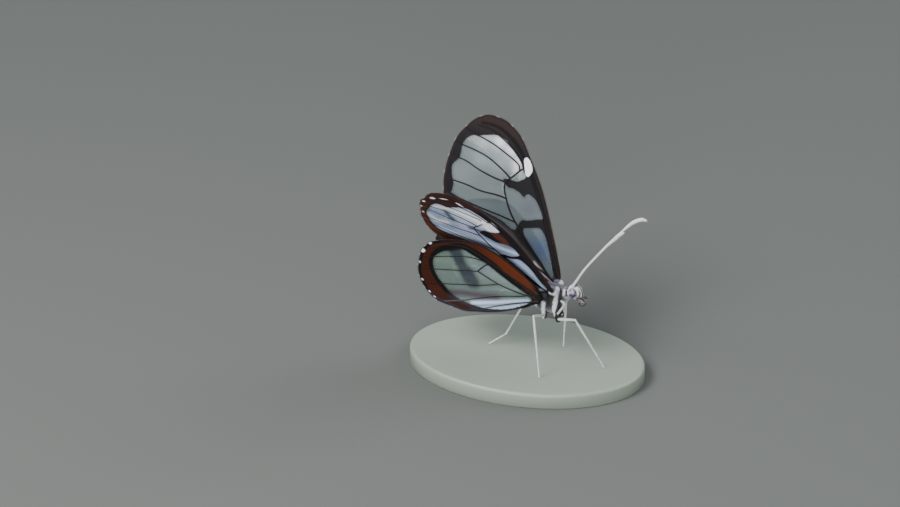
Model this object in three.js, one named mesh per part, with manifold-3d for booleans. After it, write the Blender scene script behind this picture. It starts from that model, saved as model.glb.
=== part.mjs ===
// Glasswing butterfly, standing on a low oval base. Millimetres, +X to the head, +Z up.
// Body sizes are given from a point midway between the forewing roots; ORIGIN moves them to the base.
import * as THREE from 'three';
import { mergeVertices } from 'three/addons/utils/BufferGeometryUtils.js';
import Module from 'manifold-3d';

const wasm = await Module();
wasm.setup();

// Named sizes.
const GAP = 0.3;
const FOOT_LEVEL = -11.5;
const BASE_THICK = 2.4;
const BASE_HALF_LENGTH = 18;
const BASE_HALF_WIDTH = 12;
const BASE_EDGE = 0.5;
const BASE_SIDES = 64;
const BASE_CENTRE_X = -4.5;
const ORIGIN = new THREE.Vector3(-BASE_CENTRE_X, 0, BASE_THICK + GAP - FOOT_LEVEL);

const BODY_SIDES = 20;
const THORAX_FRONT = 1.3;
const THORAX_REAR = -3.85;
const HEAD_CENTRE = [2.85, 0, -0.06];
const HEAD_RADII = [1.35, 1.15, 1.35];
const NECK_CENTRE = [1.9, 0, -0.4];
const NECK_RADII = [0.8, 0.75, 0.8];
const EYE_CENTRE = [2.75, 0.82, -0.02];
const EYE_RADII = [0.76, 0.6, 0.86];
const EYE_INNER = 0.55;
const EYE_GAP = 0.2;
const ABDOMEN_LENGTH = 12.2;
const ABDOMEN_SEGMENTS = 8;
const ABDOMEN_GIRTH = 1.05;
const ABDOMEN_FLATTEN = 0.94;
const ABDOMEN_MIDDLE = -1.95;
const ABDOMEN_STEP_DOWN = 0.55;
const ABDOMEN_FALL = 1.0;
// Each segment's rings: place along it and swelling.
const SEGMENT_RINGS = [[0.02, 0.95], [0.5, 1.03], [0.94, 1.0]];

const ANTENNA_RADIUS = 0.25;
const CLUB_RADIUS = 0.36;
const CLUB_START = 0.72;
const FEMUR_RADIUS = 0.3;
const SHANK_RADIUS = 0.26;
const FOOT_RADIUS = 0.25;
const FORELEG_RADIUS = 0.26;
const LEG_SIDES = 8;
const KNEE_GAP = 0.25;
const HIP_DEPTH = 0.55;

const SHEET_HALF = 0.25;
const RIB_STEP = 2.4;
const ROOT_RIB = 0.5;
const JOINT_RIB = 0.42;
const EDGE_RIB = 0.36;
const FORE_ROOT = [0, 1.55, 0];
const DEGREE = Math.PI / 180;
const FORE_TILT = 17.4 * DEGREE;
const FORE_LEAN = 32.9 * DEGREE;
const FORE_LEAN_RISE = [-1.135 * DEGREE, 0.0326 * DEGREE];
const FORE_TWIST = 0.86 * DEGREE;
const FORE_TWIST_RISE = 10;
const HIND_ROOT = [-1.5, 2.2, -1.25];
const HIND_LEAN = 24 * DEGREE;
const HIND_BEND_START = -2.5;
const HIND_BEND_END = 0.5;
// The rounded hinge at each wing's root: place and radii.
const FORE_HINGE = [[-0.1, 1.62, 0.15], [0.75, 0.5, 0.6]];
const HIND_HINGE = [[-1.55, 2.05, -1.2], [0.7, 0.55, 0.6]];

const BIG = 60;

// Solids.
function toSolid(geometry) {
  const bare = geometry.clone();
  for (const name of Object.keys(bare.attributes)) {
    if (name !== 'position') bare.deleteAttribute(name);
  }
  const merged = mergeVertices(bare, 1e-4);
  const solid = new wasm.Manifold(new wasm.Mesh({
    numProp: 3,
    vertProperties: new Float32Array(merged.attributes.position.array),
    triVerts: new Uint32Array(merged.index.array),
  }));
  return solid;
}

function solidFrom(vertices, triangles) {
  let volume = 0;
  for (const [a, b, c] of triangles) {
    volume += vertices[a].dot(new THREE.Vector3().crossVectors(vertices[b], vertices[c]));
  }
  const flat = [];
  for (const [a, b, c] of triangles) {
    if (volume > 0) flat.push(a, b, c);
    else flat.push(a, c, b);
  }
  return new wasm.Manifold(new wasm.Mesh({
    numProp: 3,
    vertProperties: new Float32Array(vertices.flatMap((v) => [v.x, v.y, v.z])),
    triVerts: new Uint32Array(flat),
  }));
}

// Rings of equal count joined into one closed body, each end closed by a fan.
function loft(rings) {
  const count = rings[0].length;
  const vertices = rings.flat();
  const triangles = [];
  for (let r = 0; r + 1 < rings.length; r += 1) {
    for (let i = 0; i < count; i += 1) {
      const a = r * count + i;
      const b = r * count + (i + 1) % count;
      triangles.push([a, b, b + count], [a, b + count, a + count]);
    }
  }
  const first = vertices.length;
  const centre = (ring) => ring.reduce((s, v) => s.add(v), new THREE.Vector3()).divideScalar(count);
  vertices.push(centre(rings[0]), centre(rings[rings.length - 1]));
  const base = (rings.length - 1) * count;
  for (let i = 0; i < count; i += 1) {
    const j = (i + 1) % count;
    triangles.push([first, j, i], [first + 1, base + i, base + j]);
  }
  return solidFrom(vertices, triangles);
}

function ellipsoid(centre, radii, grow, around = 20, along = 14) {
  const sphere = new THREE.SphereGeometry(1, around, along);
  sphere.rotateX(Math.PI / 2);
  sphere.scale(radii[0] + grow, radii[1] + grow, radii[2] + grow);
  sphere.translate(centre[0], centre[1], centre[2]);
  return toSolid(sphere);
}

function block(low, high) {
  const box = new THREE.BoxGeometry(high[0] - low[0], high[1] - low[1], high[2] - low[2]);
  box.translate((low[0] + high[0]) / 2, (low[1] + high[1]) / 2, (low[2] + high[2]) / 2);
  return toSolid(box);
}

// Round bar through the given points; radius is a function of the share of length run.
function bar(points, radius, steps, sides, startNormal, endNormal) {
  const curve = points.length > 2 ? new THREE.CatmullRomCurve3(points, false, 'centripetal')
    : new THREE.LineCurve3(points[0], points[1]);
  const frames = curve.computeFrenetFrames(steps, false);
  const rings = [];
  for (let s = 0; s <= steps; s += 1) {
    const middle = curve.getPointAt(s / steps);
    const along = frames.tangents[s];
    const plane = (s === 0 && startNormal) || (s === steps && endNormal) || null;
    const ring = [];
    for (let i = 0; i < sides; i += 1) {
      const angle = 2 * Math.PI * i / sides;
      const r = radius(s / steps);
      const offset = frames.normals[s].clone().multiplyScalar(r * Math.cos(angle))
        .addScaledVector(frames.binormals[s], r * Math.sin(angle));
      if (plane) offset.addScaledVector(along, -offset.dot(plane) / along.dot(plane));
      ring.push(middle.clone().add(offset));
    }
    rings.push(ring);
  }
  return loft(rings);
}

const point = (x, y, z) => new THREE.Vector3(x, y, z);

// Sections of the thorax: place along X, top, bottom and half width.
const THORAX_SECTIONS = [
  [THORAX_FRONT, 0.25, -1.25, 0.75],
  [0.85, 0.62, -2.3, 1.0],
  [0.3, 0.88, -3.6, 1.25],
  [-0.6, 1.0, -4.25, 1.45],
  [-1.6, 0.9, -4.2, 1.5],
  [-2.6, 0.35, -3.85, 1.4],
  [-3.4, -0.35, -3.4, 1.15],
  [THORAX_REAR, -0.8, -3.1, 0.95],
];

function thoraxForm(grow) {
  const rings = THORAX_SECTIONS.map(([x, top, bottom, half], index) => {
    const ends = index === 0 ? grow : index === THORAX_SECTIONS.length - 1 ? -grow : 0;
    const ring = [];
    for (let i = 0; i < BODY_SIDES; i += 1) {
      const angle = 2 * Math.PI * i / BODY_SIDES;
      ring.push(point(x + ends, (half + grow) * Math.cos(angle),
        (top + bottom) / 2 + ((top - bottom) / 2 + grow) * Math.sin(angle)));
    }
    return ring;
  });
  let form = loft(rings);
  for (const side of [1, -1]) {
    for (const coxa of COXAE) {
      const [start, tip, radius] = coxa;
      const from = point(start[0], side * start[1], start[2]);
      const to = point(tip[0], side * tip[1], tip[2]);
      to.addScaledVector(to.clone().sub(from).normalize(), grow);
      form = form.add(bar([from, to], (t) => radius * (1.15 - 0.35 * t) + grow, 3, 10));
    }
  }
  return form;
}

const MID_HIP = [0.65, 1.25, -4.6];
const HIND_HIP = [-1.55, 1.25, -4.3];
const COXAE = [
  [[0.0, 0.6, -2.9], [0.5, 0.85, -4.7], 0.5],
  [[-1.7, 0.6, -2.9], [-1.55, 0.85, -4.45], 0.5],
];

const thoraxGrown = thoraxForm(GAP);
const thorax = thoraxForm(0);

const eyeForm = (side, grow) => {
  const centre = [EYE_CENTRE[0], side * EYE_CENTRE[1], EYE_CENTRE[2]];
  const inner = EYE_INNER - grow;
  const half = block([-BIG, side > 0 ? inner : -BIG, -BIG], [BIG, side > 0 ? BIG : -inner, BIG]);
  return ellipsoid(centre, EYE_RADII, grow).intersect(half);
};
const eyes = { left: eyeForm(1, 0), right: eyeForm(-1, 0) };
const headWhole = (grow) => ellipsoid(HEAD_CENTRE, HEAD_RADII, grow, 24, 16)
  .add(ellipsoid(NECK_CENTRE, NECK_RADII, grow, 16, 8));
const behindNeck = block([-BIG, -BIG, -BIG], [THORAX_FRONT + GAP, BIG, BIG]);
const head = headWhole(0).subtract(behindNeck)
  .subtract(eyeForm(1, EYE_GAP)).subtract(eyeForm(-1, EYE_GAP));
const headGrown = headWhole(GAP).add(eyeForm(1, GAP)).add(eyeForm(-1, GAP));

function abdomenForm() {
  const rings = [];
  const front = THORAX_REAR - GAP;
  const girth = (t) => ABDOMEN_GIRTH * Math.pow(Math.sin(Math.PI * (0.22 + 0.74 * t)), 0.55);
  const sides = 16;
  for (let s = 0; s < ABDOMEN_SEGMENTS; s += 1) {
    for (const [share, swell] of SEGMENT_RINGS) {
      const t = (s + share) / ABDOMEN_SEGMENTS;
      const radius = girth(t) * swell;
      const middle = ABDOMEN_MIDDLE - ABDOMEN_STEP_DOWN * Math.min(1, t / 0.16) - ABDOMEN_FALL * t;
      const ring = [];
      for (let i = 0; i < sides; i += 1) {
        const angle = 2 * Math.PI * i / sides;
        ring.push(point(front - ABDOMEN_LENGTH * t, ABDOMEN_FLATTEN * radius * Math.cos(angle),
          middle + radius * Math.sin(angle)));
      }
      rings.push(ring);
    }
  }
  return loft(rings).subtract(block([front, -BIG, -BIG], [BIG, BIG, BIG]));
}

// Feelers and mouth parts.
const ANTENNA_PATHS = {
  left: [[2.6, 0.5, 0.95], [2.92, 0.65, 1.5], [4.1, 1.0, 3.5], [6.57, 1.6, 6.73], [8.0, 2.0, 8.44],
    [9.58, 2.4, 10.17], [10.87, 2.75, 11.4], [12.03, 3.0, 11.95], [12.85, 3.2, 11.8]],
  right: [[2.6, 0.5, 0.95], [3.15, 0.62, 1.9], [4.73, 0.9, 4.59], [7.64, 1.7, 8.58], [9.42, 2.4, 10.82],
    [10.49, 2.8, 12.12], [11.2, 3.0, 12.75]],
};
const PALP_PATH = [[3.7, 0.75, -0.95], [4.15, 0.78, -1.2], [4.55, 0.74, -1.2], [4.85, 0.66, -0.9]];
const PROBOSCIS_PATH = [
  [3.6, 0, -1.0], [4.3, 0, -1.35], [4.5, 0, -1.8], [4.2, 0, -2.2], [3.7, 0, -2.3], [3.5, 0, -2.0],
];

const place = (path, side) => path.map(([x, y, z]) => point(x, side * y, z));

function antenna(word, side) {
  const radius = (t) => {
    const swell = THREE.MathUtils.smoothstep(t, CLUB_START, 0.93);
    const tip = t > 0.97 ? 0.6 : 1;
    return (ANTENNA_RADIUS + (CLUB_RADIUS - ANTENNA_RADIUS) * swell) * tip;
  };
  return bar(place(ANTENNA_PATHS[word], side), radius, 26, 8).subtract(headGrown);
}

const palp = (side) => bar(place(PALP_PATH, side), (t) => 0.28 - 0.13 * t * t, 8, 8).subtract(headGrown);
const proboscis = bar(place(PROBOSCIS_PATH, 1), (t) => 0.24 - 0.06 * t, 14, 8).subtract(headGrown);

// The small folded forelegs, then the walking legs.
const FORELEG_PATH = [[0.9, 0.6, -1.6], [1.6, 1.1, -1.75], [1.3, 1.45, -2.4], [0.7, 1.75, -3.3]];
const foreleg = (side) => bar(place(FORELEG_PATH, side), (t) => FORELEG_RADIUS - 0.08 * t * t, 10, 8)
  .subtract(thoraxGrown).subtract(headGrown);

// A walking leg: hip, knee, ankle and foot.
const LEGS = {
  leg_mid_right: [MID_HIP, [3.86, 3.0, -3.14], [6.75, 1.22, -9.6], [7.6, 0.7, FOOT_LEVEL], -1],
  leg_mid_left: [MID_HIP, [0.3, 4.0, -4.2], [0.07, 3.9, -9.4], [0, 3.85, FOOT_LEVEL], 1],
  leg_hind_right: [HIND_HIP, [-2.0, 5.0, -2.4], [-1.05, 6.0, -8.6], [-0.6, 6.5, FOOT_LEVEL], -1],
  leg_hind_left: [HIND_HIP, [-5.4, 3.2, -3.8], [-8.4, 1.8, -10.0], [-10.5, 1.3, FOOT_LEVEL], 1],
};

function legPieces(name) {
  const [hip, knee, ankle, foot, side] = LEGS[name];
  const [a, b, c, d] = place([hip, knee, ankle, foot], side);
  const dir = (p, q) => q.clone().sub(p).normalize();
  const femurDir = dir(a, b);
  const shankDir = dir(b, c);
  const footDir = dir(c, d);
  const kneePlane = femurDir.clone().add(shankDir).normalize();
  const anklePlane = shankDir.clone().add(footDir).normalize();
  const floor = new THREE.Vector3(0, 0, -1);
  const shift = (p, along, plane, amount) => p.clone().addScaledVector(along, amount / along.dot(plane));
  const start = a.clone().addScaledVector(femurDir, -HIP_DEPTH);
  const femur = bar([start, shift(b, femurDir, kneePlane, -KNEE_GAP / 2)],
    (t) => FEMUR_RADIUS * (1.1 - 0.2 * t), 4, LEG_SIDES, null, kneePlane).subtract(thoraxGrown);
  const shank = bar([shift(b, shankDir, kneePlane, KNEE_GAP / 2),
    shift(c, shankDir, anklePlane, -KNEE_GAP / 2)],
    () => SHANK_RADIUS, 4, LEG_SIDES, kneePlane, anklePlane);
  const toes = bar([shift(c, footDir, anklePlane, KNEE_GAP / 2), d],
    (t) => SHANK_RADIUS - (SHANK_RADIUS - FOOT_RADIUS) * t, 3, LEG_SIDES, anklePlane, floor);
  return { femur, tibia: shank, tarsus: toes };
}

// Outlines and veins are in the flat wing: first along the hind edge's way, then up the wing.
const FORE_OUTLINE = [
  [-0.2, -0.4], [0.1, 0.9], [1.1, 2.6], [3.9, 6.5], [5.9, 9.2], [7.9, 11.7], [9.7, 13.6], [11.6, 15.4],
  [14.1, 17.7], [16.8, 19.0], [18.6, 19.2], [20.4, 18.9], [21.9, 17.6], [22.8, 15.7], [23.3, 13.7],
  [23.1, 10.4], [22.5, 7.7], [21.6, 5.6], [20.5, 3.5], [19.0, 2.3], [16.5, 1.8], [14.0, 1.7],
  [8.0, 1.0], [3.0, -0.1], [0.7, -0.6],
];
const HIND_OUTLINE = [
  [-0.4, 0.6], [-0.1, 1.9], [0.8, 4.0], [2.9, 6.8], [5.1, 9.3], [6.7, 10.6], [8.3, 11.6], [9.9, 11.9],
  [11.7, 11.8], [14.0, 11.3], [15.7, 10.6], [16.8, 9.6], [17.9, 7.8], [18.6, 5.4], [19.0, 3.1],
  [18.9, 0.6], [18.4, -1.0], [17.6, -2.1], [16.6, -2.9], [15.3, -3.3], [13.7, -3.7], [12.1, -4.0],
  [10.0, -3.8], [8.2, -3.6], [6.1, -3.1], [4.1, -2.4], [2.7, -1.9], [1.5, -1.2], [0.3, -0.7],
];

// Main veins, each with its height above the middle of the sheet at its two ends.
const FORE_VEINS = [
  [ROOT_RIB, EDGE_RIB, [[0.2, 0.4], [2.2, 2.8], [4.7, 6.2], [6.9, 9.0], [9.1, 11.6], [11.7, 14.2],
    [14.6, 16.5], [17.9, 17.7], [20.6, 17.4]]],
  [ROOT_RIB, JOINT_RIB, [[0.5, -0.1], [1.7, 0.2], [4.0, 1.8], [6.3, 3.3], [9.8, 5.7], [11.5, 7.2],
    [12.5, 8.4]]],
  [JOINT_RIB, JOINT_RIB, [[12.5, 8.4], [13.2, 9.4], [13.6, 10.5], [13.0, 11.6], [11.6, 14.0]]],
  [JOINT_RIB, EDGE_RIB, [[12.5, 8.4], [14.0, 8.3], [16.5, 7.9], [19.0, 7.9], [22.0, 7.7]]],
  [JOINT_RIB, EDGE_RIB, [[13.6, 10.6], [15.3, 10.5], [17.9, 10.7], [20.6, 11.2], [22.4, 11.1]]],
  [JOINT_RIB, EDGE_RIB, [[13.1, 11.3], [14.3, 11.9], [17.3, 12.9], [19.8, 13.2], [22.6, 13.2]]],
  [JOINT_RIB, EDGE_RIB, [[12.4, 12.9], [13.0, 13.8], [15.6, 14.6], [18.3, 15.2], [22.1, 15.5]]],
  [JOINT_RIB, EDGE_RIB, [[9.8, 5.7], [12.3, 5.7], [15.5, 5.6], [18.6, 5.6], [21.1, 5.8]]],
  [ROOT_RIB, EDGE_RIB, [[0.7, -0.1], [3.5, 0.7], [8.0, 1.9], [14.0, 2.9], [20.0, 3.8]]],
];
const HIND_VEINS = [
  [ROOT_RIB, EDGE_RIB, [[0.2, 0.3], [0.9, 1.5], [2.7, 3.4], [5.1, 5.7], [7.8, 8.2], [10.5, 10.3],
    [13.7, 10.2], [16.4, 8.8]]],
  [ROOT_RIB, JOINT_RIB, [[0.4, 0.0], [1.2, 0.6], [3.3, 1.2], [5.5, 2.1], [7.4, 3.3], [9.4, 5.0]]],
  [JOINT_RIB, JOINT_RIB, [[9.4, 5.0], [8.3, 6.4], [7.0, 7.5]]],
  [JOINT_RIB, EDGE_RIB, [[7.2, 7.4], [10.2, 8.1], [13.4, 7.6], [17.7, 6.6]]],
  [JOINT_RIB, EDGE_RIB, [[9.4, 5.0], [12.2, 4.5], [14.6, 4.2], [18.2, 3.7]]],
  [JOINT_RIB, EDGE_RIB, [[6.6, 2.6], [9.5, 1.6], [12.7, 1.1], [18.1, 0.2]]],
  [JOINT_RIB, EDGE_RIB, [[2.2, 0.9], [3.4, 0.4], [6.6, -0.3], [9.8, -1.3], [12.6, -2.2], [15.2, -2.7]]],
  [ROOT_RIB, EDGE_RIB, [[0.6, -0.2], [3.0, -0.9], [5.6, -1.7], [9.2, -2.9]]],
];

// Rib of diamond section, as wide as it is high, so that it stands proud of both faces.
function rib([from, to, path]) {
  const curve = new THREE.CatmullRomCurve3(path.map(([x, y]) => point(x, y, 0)), false, 'centripetal');
  const steps = Math.max(2, Math.round(curve.getLength() / RIB_STEP));
  const rings = [];
  for (let s = 0; s <= steps; s += 1) {
    const middle = curve.getPointAt(s / steps);
    const tangent = curve.getTangentAt(s / steps);
    const across = point(-tangent.y, tangent.x, 0);
    const height = from + (to - from) * s / steps;
    rings.push([
      middle.clone().addScaledVector(across, height),
      middle.clone().add(point(0, 0, height)),
      middle.clone().addScaledVector(across, -height),
      middle.clone().add(point(0, 0, -height)),
    ]);
  }
  return loft(rings);
}

const veined = (sheet, veins) => veins.reduce((solid, vein) => solid.add(rib(vein)), sheet);

function flatSheet(outline) {
  const shape = new THREE.Shape();
  shape.moveTo(outline[0][0], outline[0][1]);
  shape.splineThru(outline.slice(1).map(([x, y]) => new THREE.Vector2(x, y)));
  const rim = shape.getPoints(2).map((v) => new THREE.Vector2(v.x, v.y));
  const sheet = new THREE.ExtrudeGeometry(new THREE.Shape(rim), {
    depth: 2 * SHEET_HALF, bevelEnabled: false, steps: 1,
  });
  sheet.translate(0, 0, -SHEET_HALF);
  return toSolid(sheet);
}

// Both faces of the sheet get the same triangles: the upper half is mirrored to the lower.
function mirrorFaces(solid, bend) {
  const upper = solid.intersect(block([-BIG, -BIG, 0], [BIG, BIG, BIG])).getMesh();
  const step = upper.numProp;
  const total = upper.vertProperties.length / step;
  const flat = 1e-5;
  const vertices = [];
  const twin = [];
  for (let i = 0; i < total; i += 1) {
    const [x, y, z] = upper.vertProperties.slice(i * step, i * step + 3);
    vertices.push([x, y, z]);
    twin.push(z > flat ? null : i);
  }
  for (let i = 0; i < total; i += 1) {
    if (twin[i] === null) {
      twin[i] = vertices.length;
      vertices.push([vertices[i][0], vertices[i][1], -vertices[i][2]]);
    }
  }
  const triangles = [];
  for (let t = 0; t < upper.triVerts.length; t += 3) {
    const [a, b, c] = upper.triVerts.slice(t, t + 3);
    const onCut = [a, b, c].every((v) => vertices[v][2] <= flat);
    if (!onCut) triangles.push([a, b, c], [twin[a], twin[c], twin[b]]);
  }
  return solidFrom(vertices.map(([x, y, z]) => bend(x, y, z)), triangles);
}

// Sum of a lean angle's sine and cosine from zero up to the given width.
function leanSum(width, lean) {
  const steps = 24;
  let out = 0;
  let up = 0;
  for (let i = 0; i < steps; i += 1) {
    const angle = lean(width * (i + 0.5) / steps);
    out += Math.sin(angle) * width / steps;
    up += Math.cos(angle) * width / steps;
  }
  return { out, up, angle: lean(width) };
}

function foreLean(p, q) {
  const width = Math.max(q, 0);
  return FORE_LEAN + FORE_LEAN_RISE[0] * width + FORE_LEAN_RISE[1] * width * width
    + FORE_TWIST * p * Math.min(width / FORE_TWIST_RISE, 1);
}

const hindLean = (b) => HIND_LEAN * THREE.MathUtils.smoothstep(b, HIND_BEND_START, HIND_BEND_END);

// The right forewing's tip, drawn in along its outer edge and fuller at the apex.
function drawnIn(x, y) {
  const { smoothstep } = THREE.MathUtils;
  const edge = smoothstep(x, 16, 23) * smoothstep(y, 4, 12) * (1 - smoothstep(y, 16.5, 19.6));
  const apex = smoothstep(y, 14.5, 19) * Math.exp(-(((x - 18.3) / 2.2) ** 2));
  return [x - 1.15 * edge, y + 0.8 * apex];
}

function foreBend(side) {
  const back = point(-Math.cos(FORE_TILT), 0, Math.sin(FORE_TILT));
  const rise = point(Math.sin(FORE_TILT), 0, Math.cos(FORE_TILT));
  return (x, y, w) => {
    const [p, q] = side < 0 ? drawnIn(x, y) : [x, y];
    const { out, up, angle } = leanSum(q, (width) => foreLean(p, width));
    return point(FORE_ROOT[0], side * (FORE_ROOT[1] + out + w * Math.cos(angle)), FORE_ROOT[2])
      .addScaledVector(back, p).addScaledVector(rise, up - w * Math.sin(angle));
  };
}

function hindBend(side) {
  return (a, b, w) => {
    const { out, up, angle } = leanSum(b, hindLean);
    return point(HIND_ROOT[0] - a, side * (HIND_ROOT[1] + out + w * Math.cos(angle)),
      HIND_ROOT[2] + up - w * Math.sin(angle));
  };
}

const foreFlat = veined(flatSheet(FORE_OUTLINE), FORE_VEINS);
const hindFlat = veined(flatSheet(HIND_OUTLINE), HIND_VEINS);

function hinge([[x, y, z], radii], side) {
  return ellipsoid([x, side * y, z], radii, 0, 12, 8);
}

function forewing(side) {
  return mirrorFaces(foreFlat, foreBend(side)).add(hinge(FORE_HINGE, side)).subtract(thoraxGrown);
}

function hindwing(side) {
  return mirrorFaces(hindFlat, hindBend(side)).add(hinge(HIND_HINGE, side)).subtract(thoraxGrown);
}

// Low oval base with a bevelled top edge.
function baseForm() {
  const bottom = FOOT_LEVEL - GAP - BASE_THICK;
  const levels = [[0, 0], [BASE_THICK - BASE_EDGE, 0], [BASE_THICK, BASE_EDGE]];
  return loft(levels.map(([height, inset]) => {
    const ring = [];
    for (let i = 0; i < BASE_SIDES; i += 1) {
      const angle = 2 * Math.PI * i / BASE_SIDES;
      ring.push(point(BASE_CENTRE_X + (BASE_HALF_LENGTH - inset) * Math.cos(angle),
        (BASE_HALF_WIDTH - inset) * Math.sin(angle), bottom + height));
    }
    return ring;
  }));
}

const COLOURS = {
  body: 0x2a2622, head: 0x4a4550, eye: 0x6a6278, feeler: 0xb8b2ac, leg: 0xc8c4be,
  forewing: 0x8c9aa0, hindwing: 0x9aa8a0, base: 0x8a908c,
};
const part = new THREE.Group();

function addNode(name, solid, colour) {
  const pieces = solid.decompose();
  const largest = pieces.reduce((best, next) => (next.volume() > best.volume() ? next : best));
  const mesh = largest.getMesh();
  const geometry = new THREE.BufferGeometry();
  const positions = [];
  for (let i = 0; i < mesh.vertProperties.length; i += mesh.numProp) {
    positions.push(mesh.vertProperties[i] + ORIGIN.x, mesh.vertProperties[i + 1] + ORIGIN.y,
      mesh.vertProperties[i + 2] + ORIGIN.z);
  }
  geometry.setAttribute('position', new THREE.Float32BufferAttribute(positions, 3));
  geometry.setIndex(Array.from(mesh.triVerts));
  const node = new THREE.Mesh(geometry, new THREE.MeshStandardMaterial({ color: COLOURS[colour] }));
  node.name = name;
  part.add(node);
}

addNode('thorax', thorax, 'body');
addNode('abdomen', abdomenForm(), 'body');
addNode('head', head, 'head');
addNode('eye_left', eyes.left, 'eye');
addNode('eye_right', eyes.right, 'eye');
addNode('proboscis', proboscis, 'feeler');
for (const [word, side] of [['left', 1], ['right', -1]]) {
  addNode(`antenna_${word}`, antenna(word, side), 'feeler');
  addNode(`palp_${word}`, palp(side), 'feeler');
  addNode(`foreleg_${word}`, foreleg(side), 'leg');
  addNode(`forewing_${word}`, forewing(side), 'forewing');
  addNode(`hindwing_${word}`, hindwing(side), 'hindwing');
}
for (const name of Object.keys(LEGS)) {
  for (const [piece, solid] of Object.entries(legPieces(name))) {
    addNode(`${name}_${piece}`, solid, 'leg');
  }
}
addNode('stand_base', baseForm(), 'base');

export default part;
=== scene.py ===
"""Glasswing butterfly on its low base: membranes, skin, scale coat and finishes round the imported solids.

Shapes are worked out in millimetres from a point midway between the forewing roots, with X to the
head, Y to the butterfly's left and Z up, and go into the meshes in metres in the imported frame.
"""
import math

import bmesh
import bpy
import numpy as np
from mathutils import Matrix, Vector, geometry


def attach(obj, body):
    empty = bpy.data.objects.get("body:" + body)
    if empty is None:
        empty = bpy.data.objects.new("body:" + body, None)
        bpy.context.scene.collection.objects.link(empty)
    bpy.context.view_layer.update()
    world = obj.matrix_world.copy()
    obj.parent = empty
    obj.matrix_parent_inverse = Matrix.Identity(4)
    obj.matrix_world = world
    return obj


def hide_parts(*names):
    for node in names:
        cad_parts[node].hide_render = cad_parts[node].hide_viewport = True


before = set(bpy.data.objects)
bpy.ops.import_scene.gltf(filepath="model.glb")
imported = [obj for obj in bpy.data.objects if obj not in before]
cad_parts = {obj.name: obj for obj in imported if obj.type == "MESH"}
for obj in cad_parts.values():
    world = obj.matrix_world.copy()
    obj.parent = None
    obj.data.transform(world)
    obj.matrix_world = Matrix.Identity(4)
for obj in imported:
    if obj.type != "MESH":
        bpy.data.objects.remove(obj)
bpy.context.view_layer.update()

MM = 0.001
ORIGIN = np.array([4.5, 0.0, 14.2])
DEGREE = math.pi / 180
FOOT_LEVEL = -11.5
BASE_TOP = -11.8
SIDES = (("left", 1), ("right", -1))


# Curves and flat shapes

def curve(points, per=8):
    """Smooth path through the points, with its ends kept."""
    points = np.asarray(points, float)
    padded = np.vstack([points[:1], points, points[-1:]])
    t = np.linspace(0, 1, per, endpoint=False)[:, None]
    parts = []
    for a, b, c, d in zip(padded, padded[1:], padded[2:], padded[3:]):
        parts.append(0.5 * (2 * b + (c - a) * t + (2 * a - 5 * b + 4 * c - d) * t ** 2
                            + (3 * b - a - 3 * c + d) * t ** 3))
    return np.vstack(parts + [points[-1:]])


def ring_curve(points, per=5):
    """Smooth closed path through the points."""
    points = [list(p) for p in points]
    wrapped = curve(points[-2:] + points + points[:2], per)
    return wrapped[2 * per:(2 + len(points)) * per]


def evenly(path, step=None, count=None):
    """The path with points at even distances."""
    run = np.r_[0, np.cumsum(np.linalg.norm(np.diff(path, axis=0), axis=1))]
    total = count or max(2, int(round(run[-1] / step)) + 1)
    at = np.linspace(0, run[-1], total)
    return np.column_stack([np.interp(at, run, path[:, k]) for k in range(path.shape[1])])


def to_path(points, path, closed=False):
    """Distance of each flat point from the path, and the share of the path's length there."""
    a = path if closed else path[:-1]
    b = np.roll(path, -1, axis=0) if closed else path[1:]
    along = b - a
    length = np.maximum((along ** 2).sum(1), 1e-12)
    best = np.full(len(points), 1e9)
    share = np.zeros(len(points))
    for i in range(len(a)):
        t = np.clip(((points - a[i]) @ along[i]) / length[i], 0, 1)
        gap = np.hypot(points[:, 0] - a[i, 0] - t * along[i, 0], points[:, 1] - a[i, 1] - t * along[i, 1])
        nearer = gap < best
        best = np.where(nearer, gap, best)
        share = np.where(nearer, (i + t) / len(a), share)
    return best, share


def depth(points, outline):
    """How far inside the closed outline each flat point is, and below zero outside it."""
    x, y = points[:, 0], points[:, 1]
    inside = np.zeros(len(points), bool)
    for (ax, ay), (bx, by) in zip(outline, np.roll(outline, -1, axis=0)):
        crosses = (ay > y) != (by > y)
        at = ax + (y - ay) * (bx - ax) / (by - ay if by != ay else 1e-12)
        inside ^= crosses & (x < at)
    away = to_path(points, outline, closed=True)[0]
    return np.where(inside, away, -away)


def smooth(value, low, high):
    """Goes softly from 0 to 1 between low and high."""
    t = np.clip((value - low) / (high - low), 0, 1)
    return t * t * (3 - 2 * t)


def ink(red, green, blue):
    """Screen colour, 0 to 255, as light."""
    c = np.array([red, green, blue]) / 255
    return np.where(c <= 0.04045, c / 12.92, ((c + 0.055) / 1.055) ** 2.4)


def blend(under, over, share):
    """Colours with others laid over them by a share for each point."""
    return under + (np.asarray(over) - under) * np.asarray(share)[:, None]


def plain(count, colour):
    """The same colour for a count of points."""
    return np.tile(colour, (count, 1))


def layered(colour, *layers):
    """Colours with others laid over them in turn. A layer: colour and share."""
    for over, share in layers:
        colour = blend(colour, over, share)
    return colour


def bell(value, reach):
    """Falls softly from 1 at nought to nearly 0 past the reach."""
    return np.exp(-(value / reach) ** 2)


def unit(ways):
    """The directions made one long."""
    return ways / np.linalg.norm(ways, axis=-1, keepdims=True)


def beside(ways):
    """Flat directions turned a quarter to the left."""
    return np.column_stack([-ways[:, 1], ways[:, 0]])


def full_turn(count):
    """Even angles once round."""
    return np.linspace(0, 2 * math.pi, count, endpoint=False)


# Meshes

PLAIN_DUST = 0.4
ANY_WAY = (0.31, 0.83, 0.46)


def put(name, data):
    """An object for the data, in the scene."""
    made = bpy.data.objects.new(name, data)
    bpy.context.scene.collection.objects.link(made)
    return made


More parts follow.
